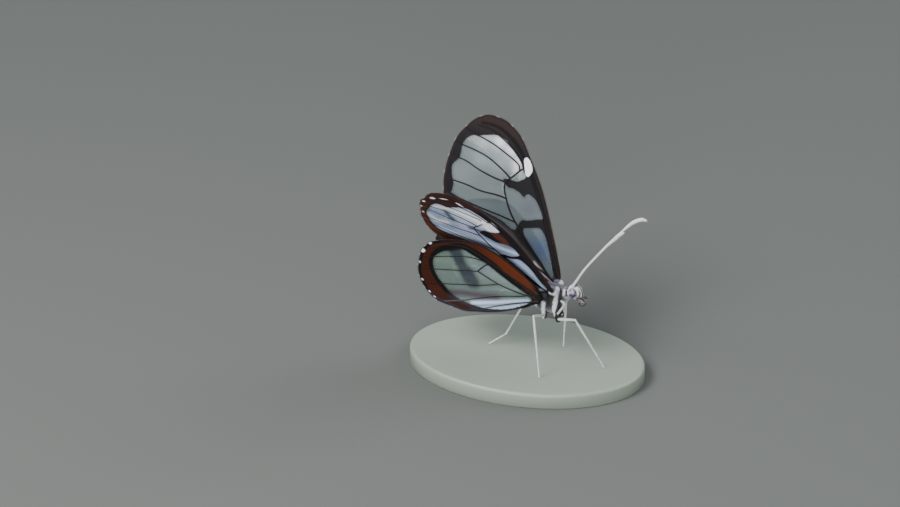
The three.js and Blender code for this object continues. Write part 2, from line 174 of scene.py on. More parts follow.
def keep_fact(mesh, key, values, kind="FLOAT_COLOR"):
    """Stores a number, a colour or a vector at each point of the mesh."""
    values = np.asarray(values, float)
    if values.ndim == 1:
        mesh.attributes.new(key, "FLOAT", "POINT").data.foreach_set("value", values)
    elif kind == "FLOAT_COLOR":
        opaque = np.column_stack([values, np.ones(len(values))])
        mesh.attributes.new(key, kind, "POINT").data.foreach_set("color", opaque.ravel())
    else:
        mesh.attributes.new(key, kind, "POINT").data.foreach_set("vector", values.ravel())


def millimetre_mesh(name, verts, faces=()):
    """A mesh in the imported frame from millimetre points."""
    mesh = bpy.data.meshes.new(name)
    mesh.from_pydata(((np.asarray(verts) + ORIGIN) * MM).tolist(), [], [list(f) for f in faces])
    return mesh


def form_object(name, verts, faces, facts=None):
    """An object from millimetre points, with its faces turned outward."""
    mesh = millimetre_mesh(name, verts, faces)
    for key, values in (facts or {}).items():
        keep_fact(mesh, key, values)
    work = bmesh.new()
    work.from_mesh(mesh)
    bmesh.ops.recalc_face_normals(work, faces=work.faces[:])
    work.to_mesh(mesh)
    work.free()
    mesh.shade_smooth()
    return put(name, mesh)


def dress(made, finish, replaced=()):
    """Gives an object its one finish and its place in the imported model."""
    made.data.materials.clear()
    made.data.materials.append(finish)
    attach(made, "root")
    if replaced:
        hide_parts(*replaced)


def piece(name, verts, faces, finish, replaced, facts=None):
    """A finished piece from millimetre points, riding on the body."""
    dress(form_object(name, verts, faces, facts), finish, replaced)


class Shell:
    """Points and faces of closed forms gathered for one mesh, with a dusting number at each point."""

    def __init__(self):
        self.verts = []
        self.faces = []
        self.dust = []

    def rings(self, rings, dust=PLAIN_DUST):
        """Rings of equal count joined, each end closed by a fan."""
        rings = [np.asarray(r) for r in rings]
        count = len(rings[0])
        verts = np.vstack(rings + [rings[0].mean(0)[None], rings[-1].mean(0)[None]])
        first = len(rings) * count
        last = first - count
        faces = []
        for start in range(0, last, count):
            for i in range(count):
                j = (i + 1) % count
                faces.append([start + i, start + j, start + count + j, start + count + i])
        for i in range(count):
            j = (i + 1) % count
            faces.append([first, j, i])
            faces.append([first + 1, last + i, last + j])
        before = len(self.verts)
        self.verts.extend(verts.tolist())
        self.faces.extend([[before + i for i in face] for face in faces])
        self.dust.extend(np.broadcast_to(dust, len(verts)).tolist())

    def tube(self, path, radii, sides=14, dust=PLAIN_DUST):
        """Round bar along the path with rounded ends. The dust is one number, or one for each ring."""
        path = np.asarray(path, float)
        ahead = unit(np.gradient(path, axis=0))
        across = np.cross(ahead[0], ANY_WAY)
        angles = full_turn(sides)
        rings = []
        for place, way, radius in zip(path, ahead, radii):
            across = unit(across - way * (across @ way))
            third = np.cross(way, across)
            turned = np.cos(angles)[:, None] * across + np.sin(angles)[:, None] * third
            rings.append(place + radius * turned)
        ends = []
        for place, way, ring in ((path[0], -ahead[0], rings[0]), (path[-1], ahead[-1], rings[-1])):
            reach = np.linalg.norm(ring[0] - place)
            ends.append([place + (ring - place) * math.cos(angle) + way * reach * math.sin(angle)
                         for angle in (0.5, 1.1)])
        if np.ndim(dust):
            dust = np.r_[np.repeat(dust, sides), 0.5, 0.5]
        self.rings(ends[0][::-1] + rings + ends[1], dust)

    def ball(self, centre, radii, around=24, along=16):
        """Closed oval ball."""
        turn = full_turn(around)
        rings = []
        for k in range(1, along):
            angle = math.pi * k / along
            ring = np.column_stack([np.full(around, math.cos(angle)), math.sin(angle) * np.cos(turn),
                                    math.sin(angle) * np.sin(turn)])
            rings.append(np.asarray(centre) + ring * radii)
        self.rings(rings)

    def dusted(self, name, finish, slot, *replaced):
        """The gathered forms as one piece that carries its dusting."""
        piece(name, self.verts, self.faces, finish, replaced, {"ring": self.dust})


# Finishes

class Value:
    """One socket of a finish, with arithmetic."""

    def __init__(self, finish, socket):
        self.finish = finish
        self.socket = socket

    def work(self, operation, first, second):
        return self.finish.add("ShaderNodeMath", {"operation": operation}, {0: first, 1: second})

    def __add__(self, other):
        return self.work("ADD", self, other)

    def __mul__(self, other):
        return self.work("MULTIPLY", self, other)

    def __sub__(self, other):
        return self.work("SUBTRACT", self, other)

    def __rsub__(self, other):
        return self.work("SUBTRACT", other, self)

    __radd__ = __add__
    __rmul__ = __mul__

    def larger(self, other):
        return self.work("MAXIMUM", self, other)

    def step(self, low, high):
        """Goes softly from 0 to 1 between low and high."""
        return self.finish.add("ShaderNodeMapRange", {"interpolation_type": "SMOOTHSTEP"},
                               {0: self, 1: low, 2: high, 3: 0.0, 4: 1.0})


class Finish:
    """A material and the nodes it is worked out with."""

    def __init__(self, name):
        self.material = bpy.data.materials.new(name)
        self.material.use_nodes = True
        self.tree = self.material.node_tree
        self.tree.nodes.clear()
        self.place = self.add("ShaderNodeTexCoord", output="Object")

    def add(self, kind, settings=None, values=None, output=0):
        node = self.tree.nodes.new(kind)
        for name, setting in (settings or {}).items():
            if name == "stops":
                stops = node.color_ramp.elements
                for place, colour in setting[2:]:
                    stops.new(place)
                for stop, (place, colour) in zip(stops, setting):
                    stop.position = place
                    stop.color = (*colour, 1.0)
            else:
                setattr(node, name, setting)
        for name, value in (values or {}).items():
            socket = node.inputs[name]
            if isinstance(value, Value):
                self.tree.links.new(value.socket, socket)
            elif socket.type == "RGBA" and len(value) == 3:
                socket.default_value = (*value, 1.0)
            else:
                socket.default_value = value
        return Value(self, node.outputs[output])

    def fact(self, name, output="Fac"):
        return self.add("ShaderNodeAttribute", {"attribute_name": name}, output=output)

    def noise(self, per_mm, detail=3.0, rough=0.55):
        values = {"Vector": self.place, "Scale": per_mm / MM, "Detail": detail, "Roughness": rough}
        return self.add("ShaderNodeTexNoise", None, values, "Fac")

    def cells(self, per_mm):
        values = {"Vector": self.place, "Scale": per_mm / MM}
        return self.add("ShaderNodeTexVoronoi", None, values, "Distance")

    def mix(self, share, under, over):
        return self.add("ShaderNodeMix", {"data_type": "RGBA"}, {0: share, 6: under, 7: over}, 2)

    def shade(self, colour, factor):
        """A colour made lighter or darker by a number."""
        return self.add("ShaderNodeVectorMath", {"operation": "SCALE"}, {0: colour, "Scale": factor})

    def bump(self, height, reach, strength=1.0):
        return self.add("ShaderNodeBump", None, {"Height": height, "Distance": reach, "Strength": strength})

    def surface(self, **sockets):
        names = {key.replace("_", " "): value for key, value in sockets.items()}
        shader = self.add("ShaderNodeBsdfPrincipled", None, names)
        out = self.tree.nodes.new("ShaderNodeOutputMaterial")
        self.tree.links.new(shader.socket, out.inputs["Surface"])
        return self.material


def wing_finish():
    """Clear pearly membrane, partly painted glare and sheen, with scaled bands, spots and veins, each from
    its own measured edge.
    """
    f = Finish("wing_membrane_and_scales")
    rag = (f.noise(5.0, 4.0, 0.7) - 0.5) * 0.34
    grain = f.noise(11.0, 2.0, 0.8)
    scale_rows = f.cells(9.0)
    scaled = (f.fact("scales") + rag).step(-0.05, 0.07)
    band = (f.fact("band") + rag).step(-0.06, 0.10)
    spot = (f.fact("spot") + rag * 0.7).step(-0.04, 0.09)
    vein = (f.fact("vein") + rag * 0.12).step(-0.03, 0.03)
    dust = (f.fact("dust") + (grain - 0.5) * 1.6).step(0.35, 0.75)
    speckle = grain * 0.55 + 0.72
    tone = f.shade(f.fact("tone", "Color"), speckle)
    rust = f.shade(f.fact("rust", "Color"), grain * 0.8 + 0.6)
    pale = f.shade(f.fact("pale", "Color"), grain * 0.16 + 0.92)
    # The film colour holds the membrane's tint and, under the forewing and on the hindwing, painted glare and
    # sheen.
    colour = f.mix(dust, f.fact("film", "Color"), tone)
    colour = f.mix(scaled, colour, tone)
    colour = f.mix(band, colour, rust)
    colour = f.mix(vein, colour, f.fact("line", "Color"))
    colour = f.mix(spot, colour, pale)
    covered = scaled.larger(band).larger(spot).larger(vein).larger(dust * 0.8)
    veil = f.fact("veil")
    alpha = veil + (1.0 - veil) * covered
    wrinkle = f.noise(1.1, 3.0, 0.6) * 0.7 + f.noise(3.2, 2.0, 0.5) * 0.3
    relief = (covered * (0.6 - scale_rows) * 0.30) + wrinkle * 0.5
    return f.surface(Base_Color=colour, Alpha=alpha, Roughness=covered * 0.34 + 0.26,
                     Normal=f.bump(relief, 0.00006, 0.9), Specular_IOR_Level=0.16,
                     Coat_Weight=(1.0 - covered) * 0.5, Coat_Roughness=0.14)


def skin_finish():
    """Dark chitin under the coat, with the same markings and fine scale relief."""
    f = Finish("skin_under_scales")
    grain = f.noise(7.0, 4.0, 0.7)
    colour = f.shade(f.fact("mark", "Color"), grain * 0.7 + 0.45)
    relief = f.cells(7.0) * 0.6 + grain
    return f.surface(Base_Color=colour, Roughness=0.58, Normal=f.bump(relief, 0.00004),
                     Sheen_Weight=0.25, Sheen_Roughness=0.5)


def coat_finish():
    """Scales and hairs, each a little darker at its root: painted shade where the blades lie over one
    another.
    """
    f = Finish("scale_coat")
    rise = f.add("ShaderNodeSeparateXYZ", None, {0: f.fact("leaf", "Vector")}, 1)
    # Darker towards each blade's root: painted shade within the coat.
    colour = f.shade(f.fact("mark", "Color"), rise * 0.45 + 0.68)
    return f.surface(Base_Color=colour, Roughness=0.5, Sheen_Weight=0.35, Sheen_Roughness=0.4)


def eye_finish():
    """Grey-violet eye with soft darker mottling and fine facets."""
    f = Finish("eye_facets")
    tones = [(0.36, ink(42, 36, 52)), (0.5, ink(92, 84, 108)), (0.64, ink(170, 162, 188))]
    colour = f.add("ShaderNodeValToRGB", {"stops": tones}, {0: f.noise(2.0, 2.0, 0.5)})
    return f.surface(Base_Color=colour, Roughness=0.3, Normal=f.bump(f.cells(16.0), 0.000012),
                     Coat_Weight=0.35, Coat_Roughness=0.15)


def limb_finish(name, pale, dark, share):
    """Scaled leg or feeler: pale scales with darker dusting in short rings."""
    f = Finish(name)
    grain = f.noise(9.0, 3.0, 0.7)
    dusted = (grain + (f.fact("ring") - 0.5) * share).step(0.50, 0.70)
    colour = f.mix(dusted, pale, dark)
    return f.surface(Base_Color=colour, Roughness=0.5, Normal=f.bump(grain + f.cells(9.0), 0.00002),
                     Sheen_Weight=0.3, Sheen_Roughness=0.4)


def base_finish():
    """Plain satin grey-green."""
    f = Finish("base_satin")
    grain = f.noise(2.0, 5.0, 0.6)
    colour = f.mix(grain * 0.5, ink(142, 152, 140), ink(128, 139, 127))
    return f.surface(Base_Color=colour, Roughness=0.42, Normal=f.bump(f.noise(9.0), 0.000006))


def floor_finish():
    """Plain dark studio floor, on which the pale feelers and legs show."""
    f = Finish("studio_floor")
    return f.surface(Base_Color=(0.115, 0.125, 0.118), Roughness=0.8)


# Wings. Flat places run along the hind edge's way, then up the wing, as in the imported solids.

FORE_ROOT = (0.0, 1.55, 0.0)
FORE_TILT = 17.4 * DEGREE
FORE_LEAN = 32.9 * DEGREE
FORE_LEAN_RISE = (-1.135 * DEGREE, 0.0326 * DEGREE)
FORE_TWIST = 0.86 * DEGREE
FORE_TWIST_RISE = 10.0
HIND_ROOT = (-1.5, 2.2, -1.25)
HIND_LEAN = 24 * DEGREE
HIND_BEND = (-2.5, 0.5)

FORE_OUTLINE = [
    (-0.2, -0.4), (0.1, 0.9), (1.1, 2.6), (3.9, 6.5), (5.9, 9.2), (7.9, 11.7), (9.7, 13.6), (11.6, 15.4),
    (14.1, 17.7), (16.8, 19.0), (18.6, 19.2), (20.4, 18.9), (21.9, 17.6), (22.8, 15.7), (23.3, 13.7),
    (23.1, 10.4), (22.5, 7.7), (21.6, 5.6), (20.5, 3.5), (19.0, 2.3), (16.5, 1.8), (14.0, 1.7),
    (8.0, 1.0), (3.0, -0.1), (0.7, -0.6)]
HIND_OUTLINE = [
    (-0.4, 0.6), (-0.1, 1.9), (0.8, 4.0), (2.9, 6.8), (5.1, 9.3), (6.7, 10.6), (8.3, 11.6), (9.9, 11.9),
    (11.7, 11.8), (14.0, 11.3), (15.7, 10.6), (16.8, 9.6), (17.9, 7.8), (18.6, 5.4), (19.0, 3.1),
    (18.9, 0.6), (18.4, -1.0), (17.6, -2.1), (16.6, -2.9), (15.3, -3.3), (13.7, -3.7), (12.1, -4.0),
    (10.0, -3.8), (8.2, -3.6), (6.1, -3.1), (4.1, -2.4), (2.7, -1.9), (1.5, -1.2), (0.3, -0.7)]

# Veins: height at the root end and at the other end, then the path.
FORE_VEINS = [
    (0.30, 0.12, [(0.2, 0.4), (2.2, 2.8), (4.7, 6.2), (6.9, 9.0), (9.1, 11.6), (11.7, 14.2), (14.6, 16.5),
                  (17.9, 17.7), (20.6, 17.4)]),
    (0.24, 0.14, [(0.5, -0.1), (1.7, 0.2), (4.0, 1.8), (6.3, 3.3), (9.8, 5.7), (11.5, 7.2), (12.5, 8.4)]),
    (0.13, 0.13, [(12.5, 8.4), (13.2, 9.4), (13.6, 10.5), (13.0, 11.6), (12.3, 12.9), (11.6, 14.0)]),
    (0.13, 0.07, [(12.5, 8.4), (14.0, 8.3), (16.5, 7.9), (19.0, 7.9), (22.3, 7.6)]),
    (0.13, 0.07, [(13.6, 10.6), (15.3, 10.5), (17.9, 10.7), (20.6, 11.2), (22.8, 11.1)]),
    (0.13, 0.07, [(13.1, 11.3), (14.3, 11.9), (17.3, 12.9), (19.8, 13.2), (22.9, 13.2)]),
    (0.13, 0.07, [(12.3, 12.9), (13.0, 13.8), (15.6, 14.6), (18.3, 15.2), (22.4, 15.6)]),
    (0.12, 0.07, [(11.3, 13.2), (13.5, 14.9), (15.9, 16.1), (18.6, 16.9), (21.0, 16.9)]),
    (0.13, 0.07, [(9.8, 5.7), (12.3, 5.7), (15.5, 5.6), (18.6, 5.6), (21.4, 5.8)]),
    (0.20, 0.08, [(0.7, -0.1), (3.5, 0.7), (8.0, 1.9), (14.0, 2.9), (20.0, 3.8)]),
]
HIND_VEINS = [
    (0.28, 0.08, [(0.2, 0.3), (0.9, 1.5), (2.7, 3.4), (5.1, 5.7), (7.8, 8.2), (10.5, 10.3), (13.7, 10.2),
                  (16.4, 8.8)]),
    (0.22, 0.12, [(0.4, 0.0), (1.2, 0.6), (3.3, 1.2), (5.5, 2.1), (7.4, 3.3), (9.4, 5.0)]),
    (0.12, 0.12, [(9.4, 5.0), (8.3, 6.4), (7.0, 7.5)]),
    (0.12, 0.07, [(7.2, 7.4), (10.2, 8.1), (13.4, 7.6), (18.0, 6.4)]),
    (0.12, 0.07, [(9.4, 5.0), (12.2, 4.5), (14.6, 4.2), (18.6, 3.6)]),
    (0.12, 0.07, [(6.6, 2.6), (9.5, 1.6), (12.7, 1.1), (18.4, 0.1)]),
    (0.12, 0.07, [(2.2, 0.9), (3.4, 0.4), (6.6, -0.3), (9.8, -1.3), (12.6, -2.2), (15.4, -2.8)]),
    (0.16, 0.07, [(0.6, -0.2), (3.0, -0.9), (5.6, -1.7), (9.2, -3.0)]),
]
MEMBRANE_HALF = 0.045
RIM_INSET = 0.10
RIM_STEP = 0.16
GRID_STEP = 0.21
VEIN_ROWS = (-0.17, -0.085, 0.0, 0.085, 0.17)
VEIN_STEP = 0.17
CELL = 0.2


def lean_sum(width, lean, steps=24):
    """Sum of a lean angle's sine and cosine from zero up to each width."""
    out = np.zeros(len(width))
    up = np.zeros(len(width))
    for i in range(steps):
        angle = lean(width * (i + 0.5) / steps)
        out += np.sin(angle) * width / steps
        up += np.cos(angle) * width / steps
    return out, up, lean(width)


def drawn_in(p, q):
    """The right forewing's tip, drawn in along its outer edge and fuller at the apex."""
    edge = smooth(p, 16, 23) * smooth(q, 4, 12) * (1 - smooth(q, 16.5, 19.6))
    apex = smooth(q, 14.5, 19) * np.exp(-((p - 18.3) / 2.2) ** 2)
    return p - 1.15 * edge, q + 0.8 * apex


def fore_place(side, p, q, w):
    """Places of flat forewing points, with w outward from the middle of the sheet."""
    if side < 0:
        p, q = drawn_in(p, q)

    def lean(width):
        wide = np.maximum(width, 0)
        return (FORE_LEAN + FORE_LEAN_RISE[0] * wide + FORE_LEAN_RISE[1] * wide * wide
                + FORE_TWIST * p * np.minimum(wide / FORE_TWIST_RISE, 1))
    out, up, angle = lean_sum(q, lean)
    rise = up - w * np.sin(angle)
    return np.column_stack([
        FORE_ROOT[0] - p * math.cos(FORE_TILT) + rise * math.sin(FORE_TILT),
        side * (FORE_ROOT[1] + out + w * np.cos(angle)),
        FORE_ROOT[2] + p * math.sin(FORE_TILT) + rise * math.cos(FORE_TILT)])


def hind_place(side, a, b, w):
    """Places of flat hindwing points, with w outward from the middle of the sheet."""
    out, up, angle = lean_sum(b, lambda width: HIND_LEAN * smooth(width, *HIND_BEND))
    return np.column_stack([HIND_ROOT[0] - a, side * (HIND_ROOT[1] + out + w * np.cos(angle)),
                            HIND_ROOT[2] + up - w * np.sin(angle)])


class FlatWing:
    """A wing spread flat: its rim, veins, points and triangles."""

    def __init__(self, outline, veins, seed):
        outer = evenly(np.vstack([curve(outline), outline[:1]]), RIM_STEP)[:-1]
        inward = beside(unit(np.roll(outer, -1, axis=0) - np.roll(outer, 1, axis=0)))
        if depth((outer + inward * 0.05)[5:6], outer)[0] < 0:
            inward = -inward
        self.rim = outer + inward * RIM_INSET
        self.veins = [(start, end, evenly(curve(path, 10), 0.12)) for start, end, path in veins]
        self.triangulate(self.spread_points(np.random.default_rng(seed)))
        self.measure()

    def spread_points(self, dice):
        """Rim points, rows along the veins, then a loose grid, none too close to one before it."""
        kept = [tuple(p) for p in self.rim]
        cells = {}

        def cell(point):
            return int(point[0] // CELL), int(point[1] // CELL)

        def near(point, reach):
            ci, cj = cell(point)
            return any(math.hypot(point[0] - other[0], point[1] - other[1]) < reach
                       for i in (ci - 1, ci, ci + 1) for j in (cj - 1, cj, cj + 1)
                       for other in cells.get((i, j), ()))

        def keep(points, reach):
            for point in points:
                if not near(point, reach):
                    kept.append(tuple(point))
                    cells.setdefault(cell(point), []).append(point)

        for point in self.rim:
            cells.setdefault(cell(point), []).append(point)
        for start, end, path in self.veins:
            steps = evenly(path, VEIN_STEP)
            side = beside(unit(np.gradient(steps, axis=0)))
            for offset in sorted(VEIN_ROWS, key=abs):
                row = steps + side * offset
                keep(row[depth(row, self.rim) > 0.07], 0.07)
        low, high = self.rim.min(0), self.rim.max(0)
        xs, ys = np.meshgrid(np.arange(low[0], high[0], GRID_STEP),
                             np.arange(low[1], high[1], GRID_STEP * 0.866))
        xs[1::2] += GRID_STEP / 2
        grid = np.column_stack([xs.ravel(), ys.ravel()]) + dice.normal(0, 0.015, (xs.size, 2))
        keep(grid[depth(grid, self.rim) > 0.1], 0.14)
        return kept

    def triangulate(self, kept):
        """Triangles between the points, and the edges that only one triangle has."""
        count = len(self.rim)
        edges = [(i, (i + 1) % count) for i in range(count)]
        made = geometry.delaunay_2d_cdt([Vector(p) for p in kept], edges, [], 1, 1e-6)
        self.points = np.array([tuple(v) for v in made[0]])
        self.faces = [tuple(f) for f in made[2]]
        sides = [pair for face in self.faces for pair in zip(face, face[1:] + face[:1])]
        known = set(sides)
        self.border = [(a, b) for a, b in sides if (b, a) not in known]

    def measure(self):
        """Each point's distance from the rim and the veins, and the ridge's height there."""
        self.from_rim = to_path(self.points, self.rim, closed=True)[0]
        self.from_vein = np.full(len(self.points), 9.0)
        self.vein_edge = np.full(len(self.points), -9.0)
        self.ridge = np.zeros(len(self.points))
        for start, end, path in self.veins:
            away, share = to_path(self.points, path)
            height = start + (end - start) * share
            self.ridge = np.maximum(self.ridge, height * bell(away, 0.055 + 0.32 * height))
            self.vein_edge = np.maximum(self.vein_edge, 0.065 + 0.42 * height - away)
            self.from_vein = np.minimum(self.from_vein, away)

    def mesh(self, place, side):
        """Both faces, joined round the rim."""
        p, q = self.points.T
        billow = 0.075 * (1 - bell(self.from_vein, 0.9)) * smooth(self.from_rim, 0, 1.2)
        half = (MEMBRANE_HALF + self.ridge) * (0.35 + 0.65 * smooth(self.from_rim, 0, 0.2))
        verts = np.vstack([place(side, p, q, billow + half), place(side, p, q, billow - half)])
        count = len(p)
        faces = list(self.faces) + [(c + count, b + count, a + count) for a, b, c in self.faces]
        faces += [(b, a, a + count, b + count) for a, b in self.border]
        return verts, faces


FORE_CLEAR = ring_curve([
    (21.7, 14.4), (21.1, 15.1), (20.1, 15.5), (19.0, 16.0), (17.7, 16.5), (16.4, 16.4), (15.1, 15.8),
    (13.8, 15.1), (12.7, 14.2), (11.9, 13.2), (11.1, 12.5), (11.5, 11.8), (12.1, 11.3), (13.0, 11.2),
    (14.0, 11.0), (13.8, 10.5), (12.9, 10.0), (12.2, 10.1), (11.1, 10.0), (10.1, 9.6), (9.9, 10.2),
    (9.1, 10.2), (8.2, 9.8), (7.2, 9.0), (6.2, 7.9), (7.1, 7.3), (8.1, 6.7), (9.1, 6.2), (9.5, 4.6),
    (11.7, 5.1), (14.0, 5.3), (17.0, 5.5), (20.2, 5.9), (20.4, 6.3), (20.7, 7.4), (21.5, 8.6),
    (22.0, 9.9), (21.5, 11.1), (21.6, 12.1), (21.8, 12.8), (21.9, 13.6)])
FORE_CELL = ring_curve([
    (8.2, 5.3), (7.1, 5.9), (6.0, 6.3), (4.8, 5.5), (3.5, 3.9), (2.2, 2.0), (1.3, 0.5), (1.8, 0.3),
    (2.8, 0.8), (4.5, 2.1), (6.1, 3.3), (7.6, 4.3)])
FORE_WHITE = ring_curve([
    (12.4, 14.7), (12.2, 15.2), (11.6, 15.0), (10.8, 14.2), (10.5, 13.4), (10.8, 12.6),
    (11.3, 12.8), (11.8, 13.6)])
UNDER_CLEAR = ring_curve([
    (21.0, 9.6), (20.7, 12.0), (20.1, 14.4), (19.1, 15.5), (18.0, 14.8), (16.8, 15.7), (15.7, 16.3),
    (14.5, 16.2), (13.2, 15.2), (11.9, 14.3), (10.8, 13.7), (9.9, 12.3), (10.0, 11.4), (11.1, 10.8),
    (12.1, 10.7), (12.7, 9.4), (12.3, 9.0), (11.2, 8.6), (9.9, 8.3), (8.7, 8.6), (7.6, 8.5), (6.5, 7.4),
    (6.3, 6.8), (7.3, 5.8), (8.5, 5.4), (9.5, 4.5), (11.7, 4.9), (14.0, 5.1), (16.9, 4.8), (18.3, 4.8),
    (19.5, 5.2), (20.5, 7.0)])
UNDER_CELL = ring_curve([
    (8.4, 4.5), (7.2, 5.1), (6.0, 5.8), (4.3, 4.5), (2.4, 2.0), (1.1, 0.5), (1.6, -0.3), (2.8, 0.2),
    (4.5, 1.9), (6.3, 3.4), (7.8, 4.2)])
UNDER_WHITE = ring_curve([
    (13.0, 14.3), (11.7, 13.8), (10.6, 13.2), (9.9, 12.0), (10.5, 11.3), (11.5, 10.8), (12.4, 11.9)])
HIND_ORANGE_INNER = ring_curve([
    (16.9, 5.4), (16.5, 6.9), (15.6, 8.5), (14.1, 9.9), (12.3, 10.8), (10.7, 10.9), (8.6, 9.6), (6.5, 7.6),
    (4.5, 4.9), (2.4, 2.4), (0.6, 0.3), (1.6, -0.9), (4.2, -2.3), (6.5, -3.0), (8.9, -3.2), (10.6, -3.0),
    (12.8, -2.6), (14.8, -1.7), (16.1, 0.6), (16.8, 3.1)])
HIND_CLEAR = ring_curve([
    (16.3, 5.4), (15.9, 6.8), (14.9, 8.1), (13.7, 8.9), (11.5, 9.9), (9.4, 8.5), (7.3, 6.6), (5.3, 4.3),
    (3.2, 2.1), (1.8, 0.5), (2.0, -0.7), (4.2, -2.0), (6.5, -2.7), (8.9, -2.9), (10.6, -2.7), (12.7, -2.2),
    (14.2, -1.2), (15.4, 0.7), (16.2, 3.1)])
HIND_CLOUD = ring_curve([
    (13.4, 10.0), (11.5, 10.2), (11.0, 6.7), (10.0, 4.6), (9.5, 1.4), (11.3, 0.7), (12.1, 2.9), (12.8, 6.3)])

BLACK = ink(13, 11, 15)
BROWN = ink(34, 18, 17)
RUST = ink(112, 54, 30)
SLATE = ink(66, 64, 74)
MILK = ink(244, 246, 250)

# A pale line by the vein near the forewing's root: painted highlight.
BASE_GLINT_LINE = evenly(curve([(1.2, -0.15), (2.4, 0.15), (3.6, 0.75), (4.8, 1.35)]), count=12)
UNDER_PATCH = ring_curve([
    (11.2, 10.9), (10.2, 11.3), (9.2, 11.0), (8.4, 10.0), (7.7, 8.7), (8.3, 8.2), (9.3, 8.7), (10.5, 9.6)])

# Soft patches of the film: centre, reach, colour and opacity. The white and pale blue-white patches under the
# forewing are painted glare.
UPPER_CLOUDS = [
    ((13.0, 13.9), 1.2, (226, 224, 232), 0.92), ((14.8, 15.1), 1.1, (226, 224, 232), 0.85),
    ((16.8, 15.7), 1.2, (226, 224, 232), 0.72), ((19.0, 15.2), 1.2, (176, 184, 190), 0.6),
    ((15.5, 13.0), 1.5, (150, 160, 166), 0.55), ((18.3, 12.2), 1.6, (150, 160, 168), 0.55),
    ((8.6, 8.6), 1.9, (88, 94, 106), 0.62), ((4.6, 3.8), 2.6, (70, 86, 116), 0.70),
    ((12.5, 6.8), 2.0, (100, 112, 116), 0.55), ((16.0, 8.6), 2.0, (112, 124, 124), 0.50),
    ((20.0, 9.3), 1.8, (124, 138, 138), 0.48)]
UNDER_CLOUDS_AND_GLARE = [
    ((12.5, 13.2), 1.7, (246, 247, 252), 0.95), ((15.0, 14.7), 1.7, (222, 232, 250), 0.82),
    ((17.5, 13.3), 2.2, (204, 222, 252), 0.85), ((15.3, 12.0), 1.6, (204, 222, 252), 0.82),
    ((18.6, 10.4), 1.8, (160, 180, 216), 0.6), ((14.8, 9.3), 1.7, (206, 206, 240), 0.80),
    ((8.2, 7.0), 1.5, (104, 112, 128), 0.6), ((4.6, 3.2), 2.4, (180, 200, 240), 0.72),
    ((11.6, 7.0), 1.5, (176, 192, 232), 0.7)]
HIND_CLOUDS = [
    ((5.4, 3.6), 2.2, (150, 168, 166), 0.50), ((8.0, 5.4), 1.6, (150, 162, 172), 0.52),
    ((14.6, 6.4), 1.8, (138, 162, 148), 0.44), ((9.0, 3.0), 1.5, (134, 156, 146), 0.46)]

# Pale and dark streaks of the film: path, reach, colour and opacity. The white and pale blue-white streaks
# are painted glare under the forewing and painted sheen on the hindwing.
# The white and pale blue-white streaks here are painted glare.
UNDER_STREAKS_AND_GLARE = [
    ([(18.6, 14.6), (17.8, 12.2), (16.9, 10.6)], 0.55, (70, 76, 96), 0.8),
    ([(14.2, 9.8), (11.8, 9.9), (10.6, 9.7)], 0.45, (66, 72, 90), 0.8),
    ([(16.2, 14.3), (13.9, 13.5), (12.1, 12.6), (10.3, 11.9)], 1.10, (255, 255, 255), 1.0),
    ([(20.0, 13.9), (18.1, 14.3)], 0.70, (255, 255, 255), 1.0),
    ([(20.7, 9.1), (19.4, 8.1), (17.9, 8.7)], 0.75, (244, 248, 255), 0.95),
    ([(17.9, 15.1), (15.8, 14.7)], 0.36, (240, 245, 255), 0.95),
    ([(18.5, 5.6), (15.3, 5.9), (12.6, 6.8), (9.4, 7.0), (6.6, 7.2)], 0.62, (206, 226, 254), 0.92),
    ([(9.2, 4.9), (7.0, 5.3), (4.1, 3.6), (1.9, 1.1)], 0.75, (192, 209, 244), 0.86)]
# The two pale blue-white streaks near the hind edge are painted sheen.
HIND_STREAKS_AND_SHEEN = [
    ([(14.3, -1.0), (12.4, -0.75), (10.2, -0.8), (7.2, -0.7)], 1.00, (80, 71, 80), 0.86),
    ([(11.0, -2.35), (6.8, -1.5), (2.2, -0.2)], 0.34, (200, 216, 248), 0.94),
    ([(10.0, -3.1), (5.9, -2.45), (2.5, -1.1)], 0.36, (200, 216, 248), 0.94)]

# White spots along the rims: centre, half length and half width, and turn in degrees.
FORE_SPOTS = [
    ((20.2, 17.1), (0.55, 0.36), -50), ((18.6, 17.9), (0.85, 0.33), -12), ((16.2, 17.2), (0.95, 0.30), 38),
    ((21.5, 14.6), (0.42, 0.26), -70), ((21.9, 11.9), (0.38, 0.24), -80), ((21.6, 9.3), (0.36, 0.22), -80)]
HIND_SPOTS = [
    ((16.1, 10.0), (0.36, 0.22), -40), ((17.5, 8.0), (0.52, 0.34), -65), ((18.4, 5.1), (0.32, 0.21), -80),
    ((18.55, 0.9), (0.34, 0.2), -90), ((17.7, -1.5), (0.26, 0.16), 50), ((16.9, -2.3), (0.24, 0.15), 40)]


def spots_depth(points, spots):
    """How far inside the nearest of several oval spots each point is."""
    best = np.full(len(points), -9.0)
    for centre, (long, short), turn in spots:
        c, s = math.cos(turn * DEGREE), math.sin(turn * DEGREE)
        dx, dy = (points - centre).T
        best = np.maximum(best, (1 - np.hypot((dx * c + dy * s) / long, (dy * c - dx * s) / short)) * short)
    return best


def clouded(at, film, veil, patches):
    """The film's colour and opacity with soft patches laid on it."""
    for centre, reach, colour, strength in patches:
        share = bell(np.hypot(*(at - centre).T), reach)
        film, veil = blend(film, ink(*colour), share), veil + (strength - veil) * share
    return film, veil


def streaked(at, film, veil, streaks):
    """The film's colour and opacity with soft streaks laid along their paths."""
    for path, reach, colour, strength in streaks:
        share = bell(to_path(at, evenly(curve(path), count=14))[0], reach)
        film, veil = blend(film, ink(*colour), share), veil + (strength - veil) * share
    return film, veil


def fore_windows(wing, side):
    """How far inside the clear windows each point is. Each wing's windows are as its shown face has them."""
    if side > 0:
        return np.maximum(depth(wing.points, FORE_CLEAR), depth(wing.points, FORE_CELL))
    at = np.column_stack(drawn_in(*wing.points.T))
    return np.maximum(depth(at, UNDER_CLEAR), depth(at, UNDER_CELL))


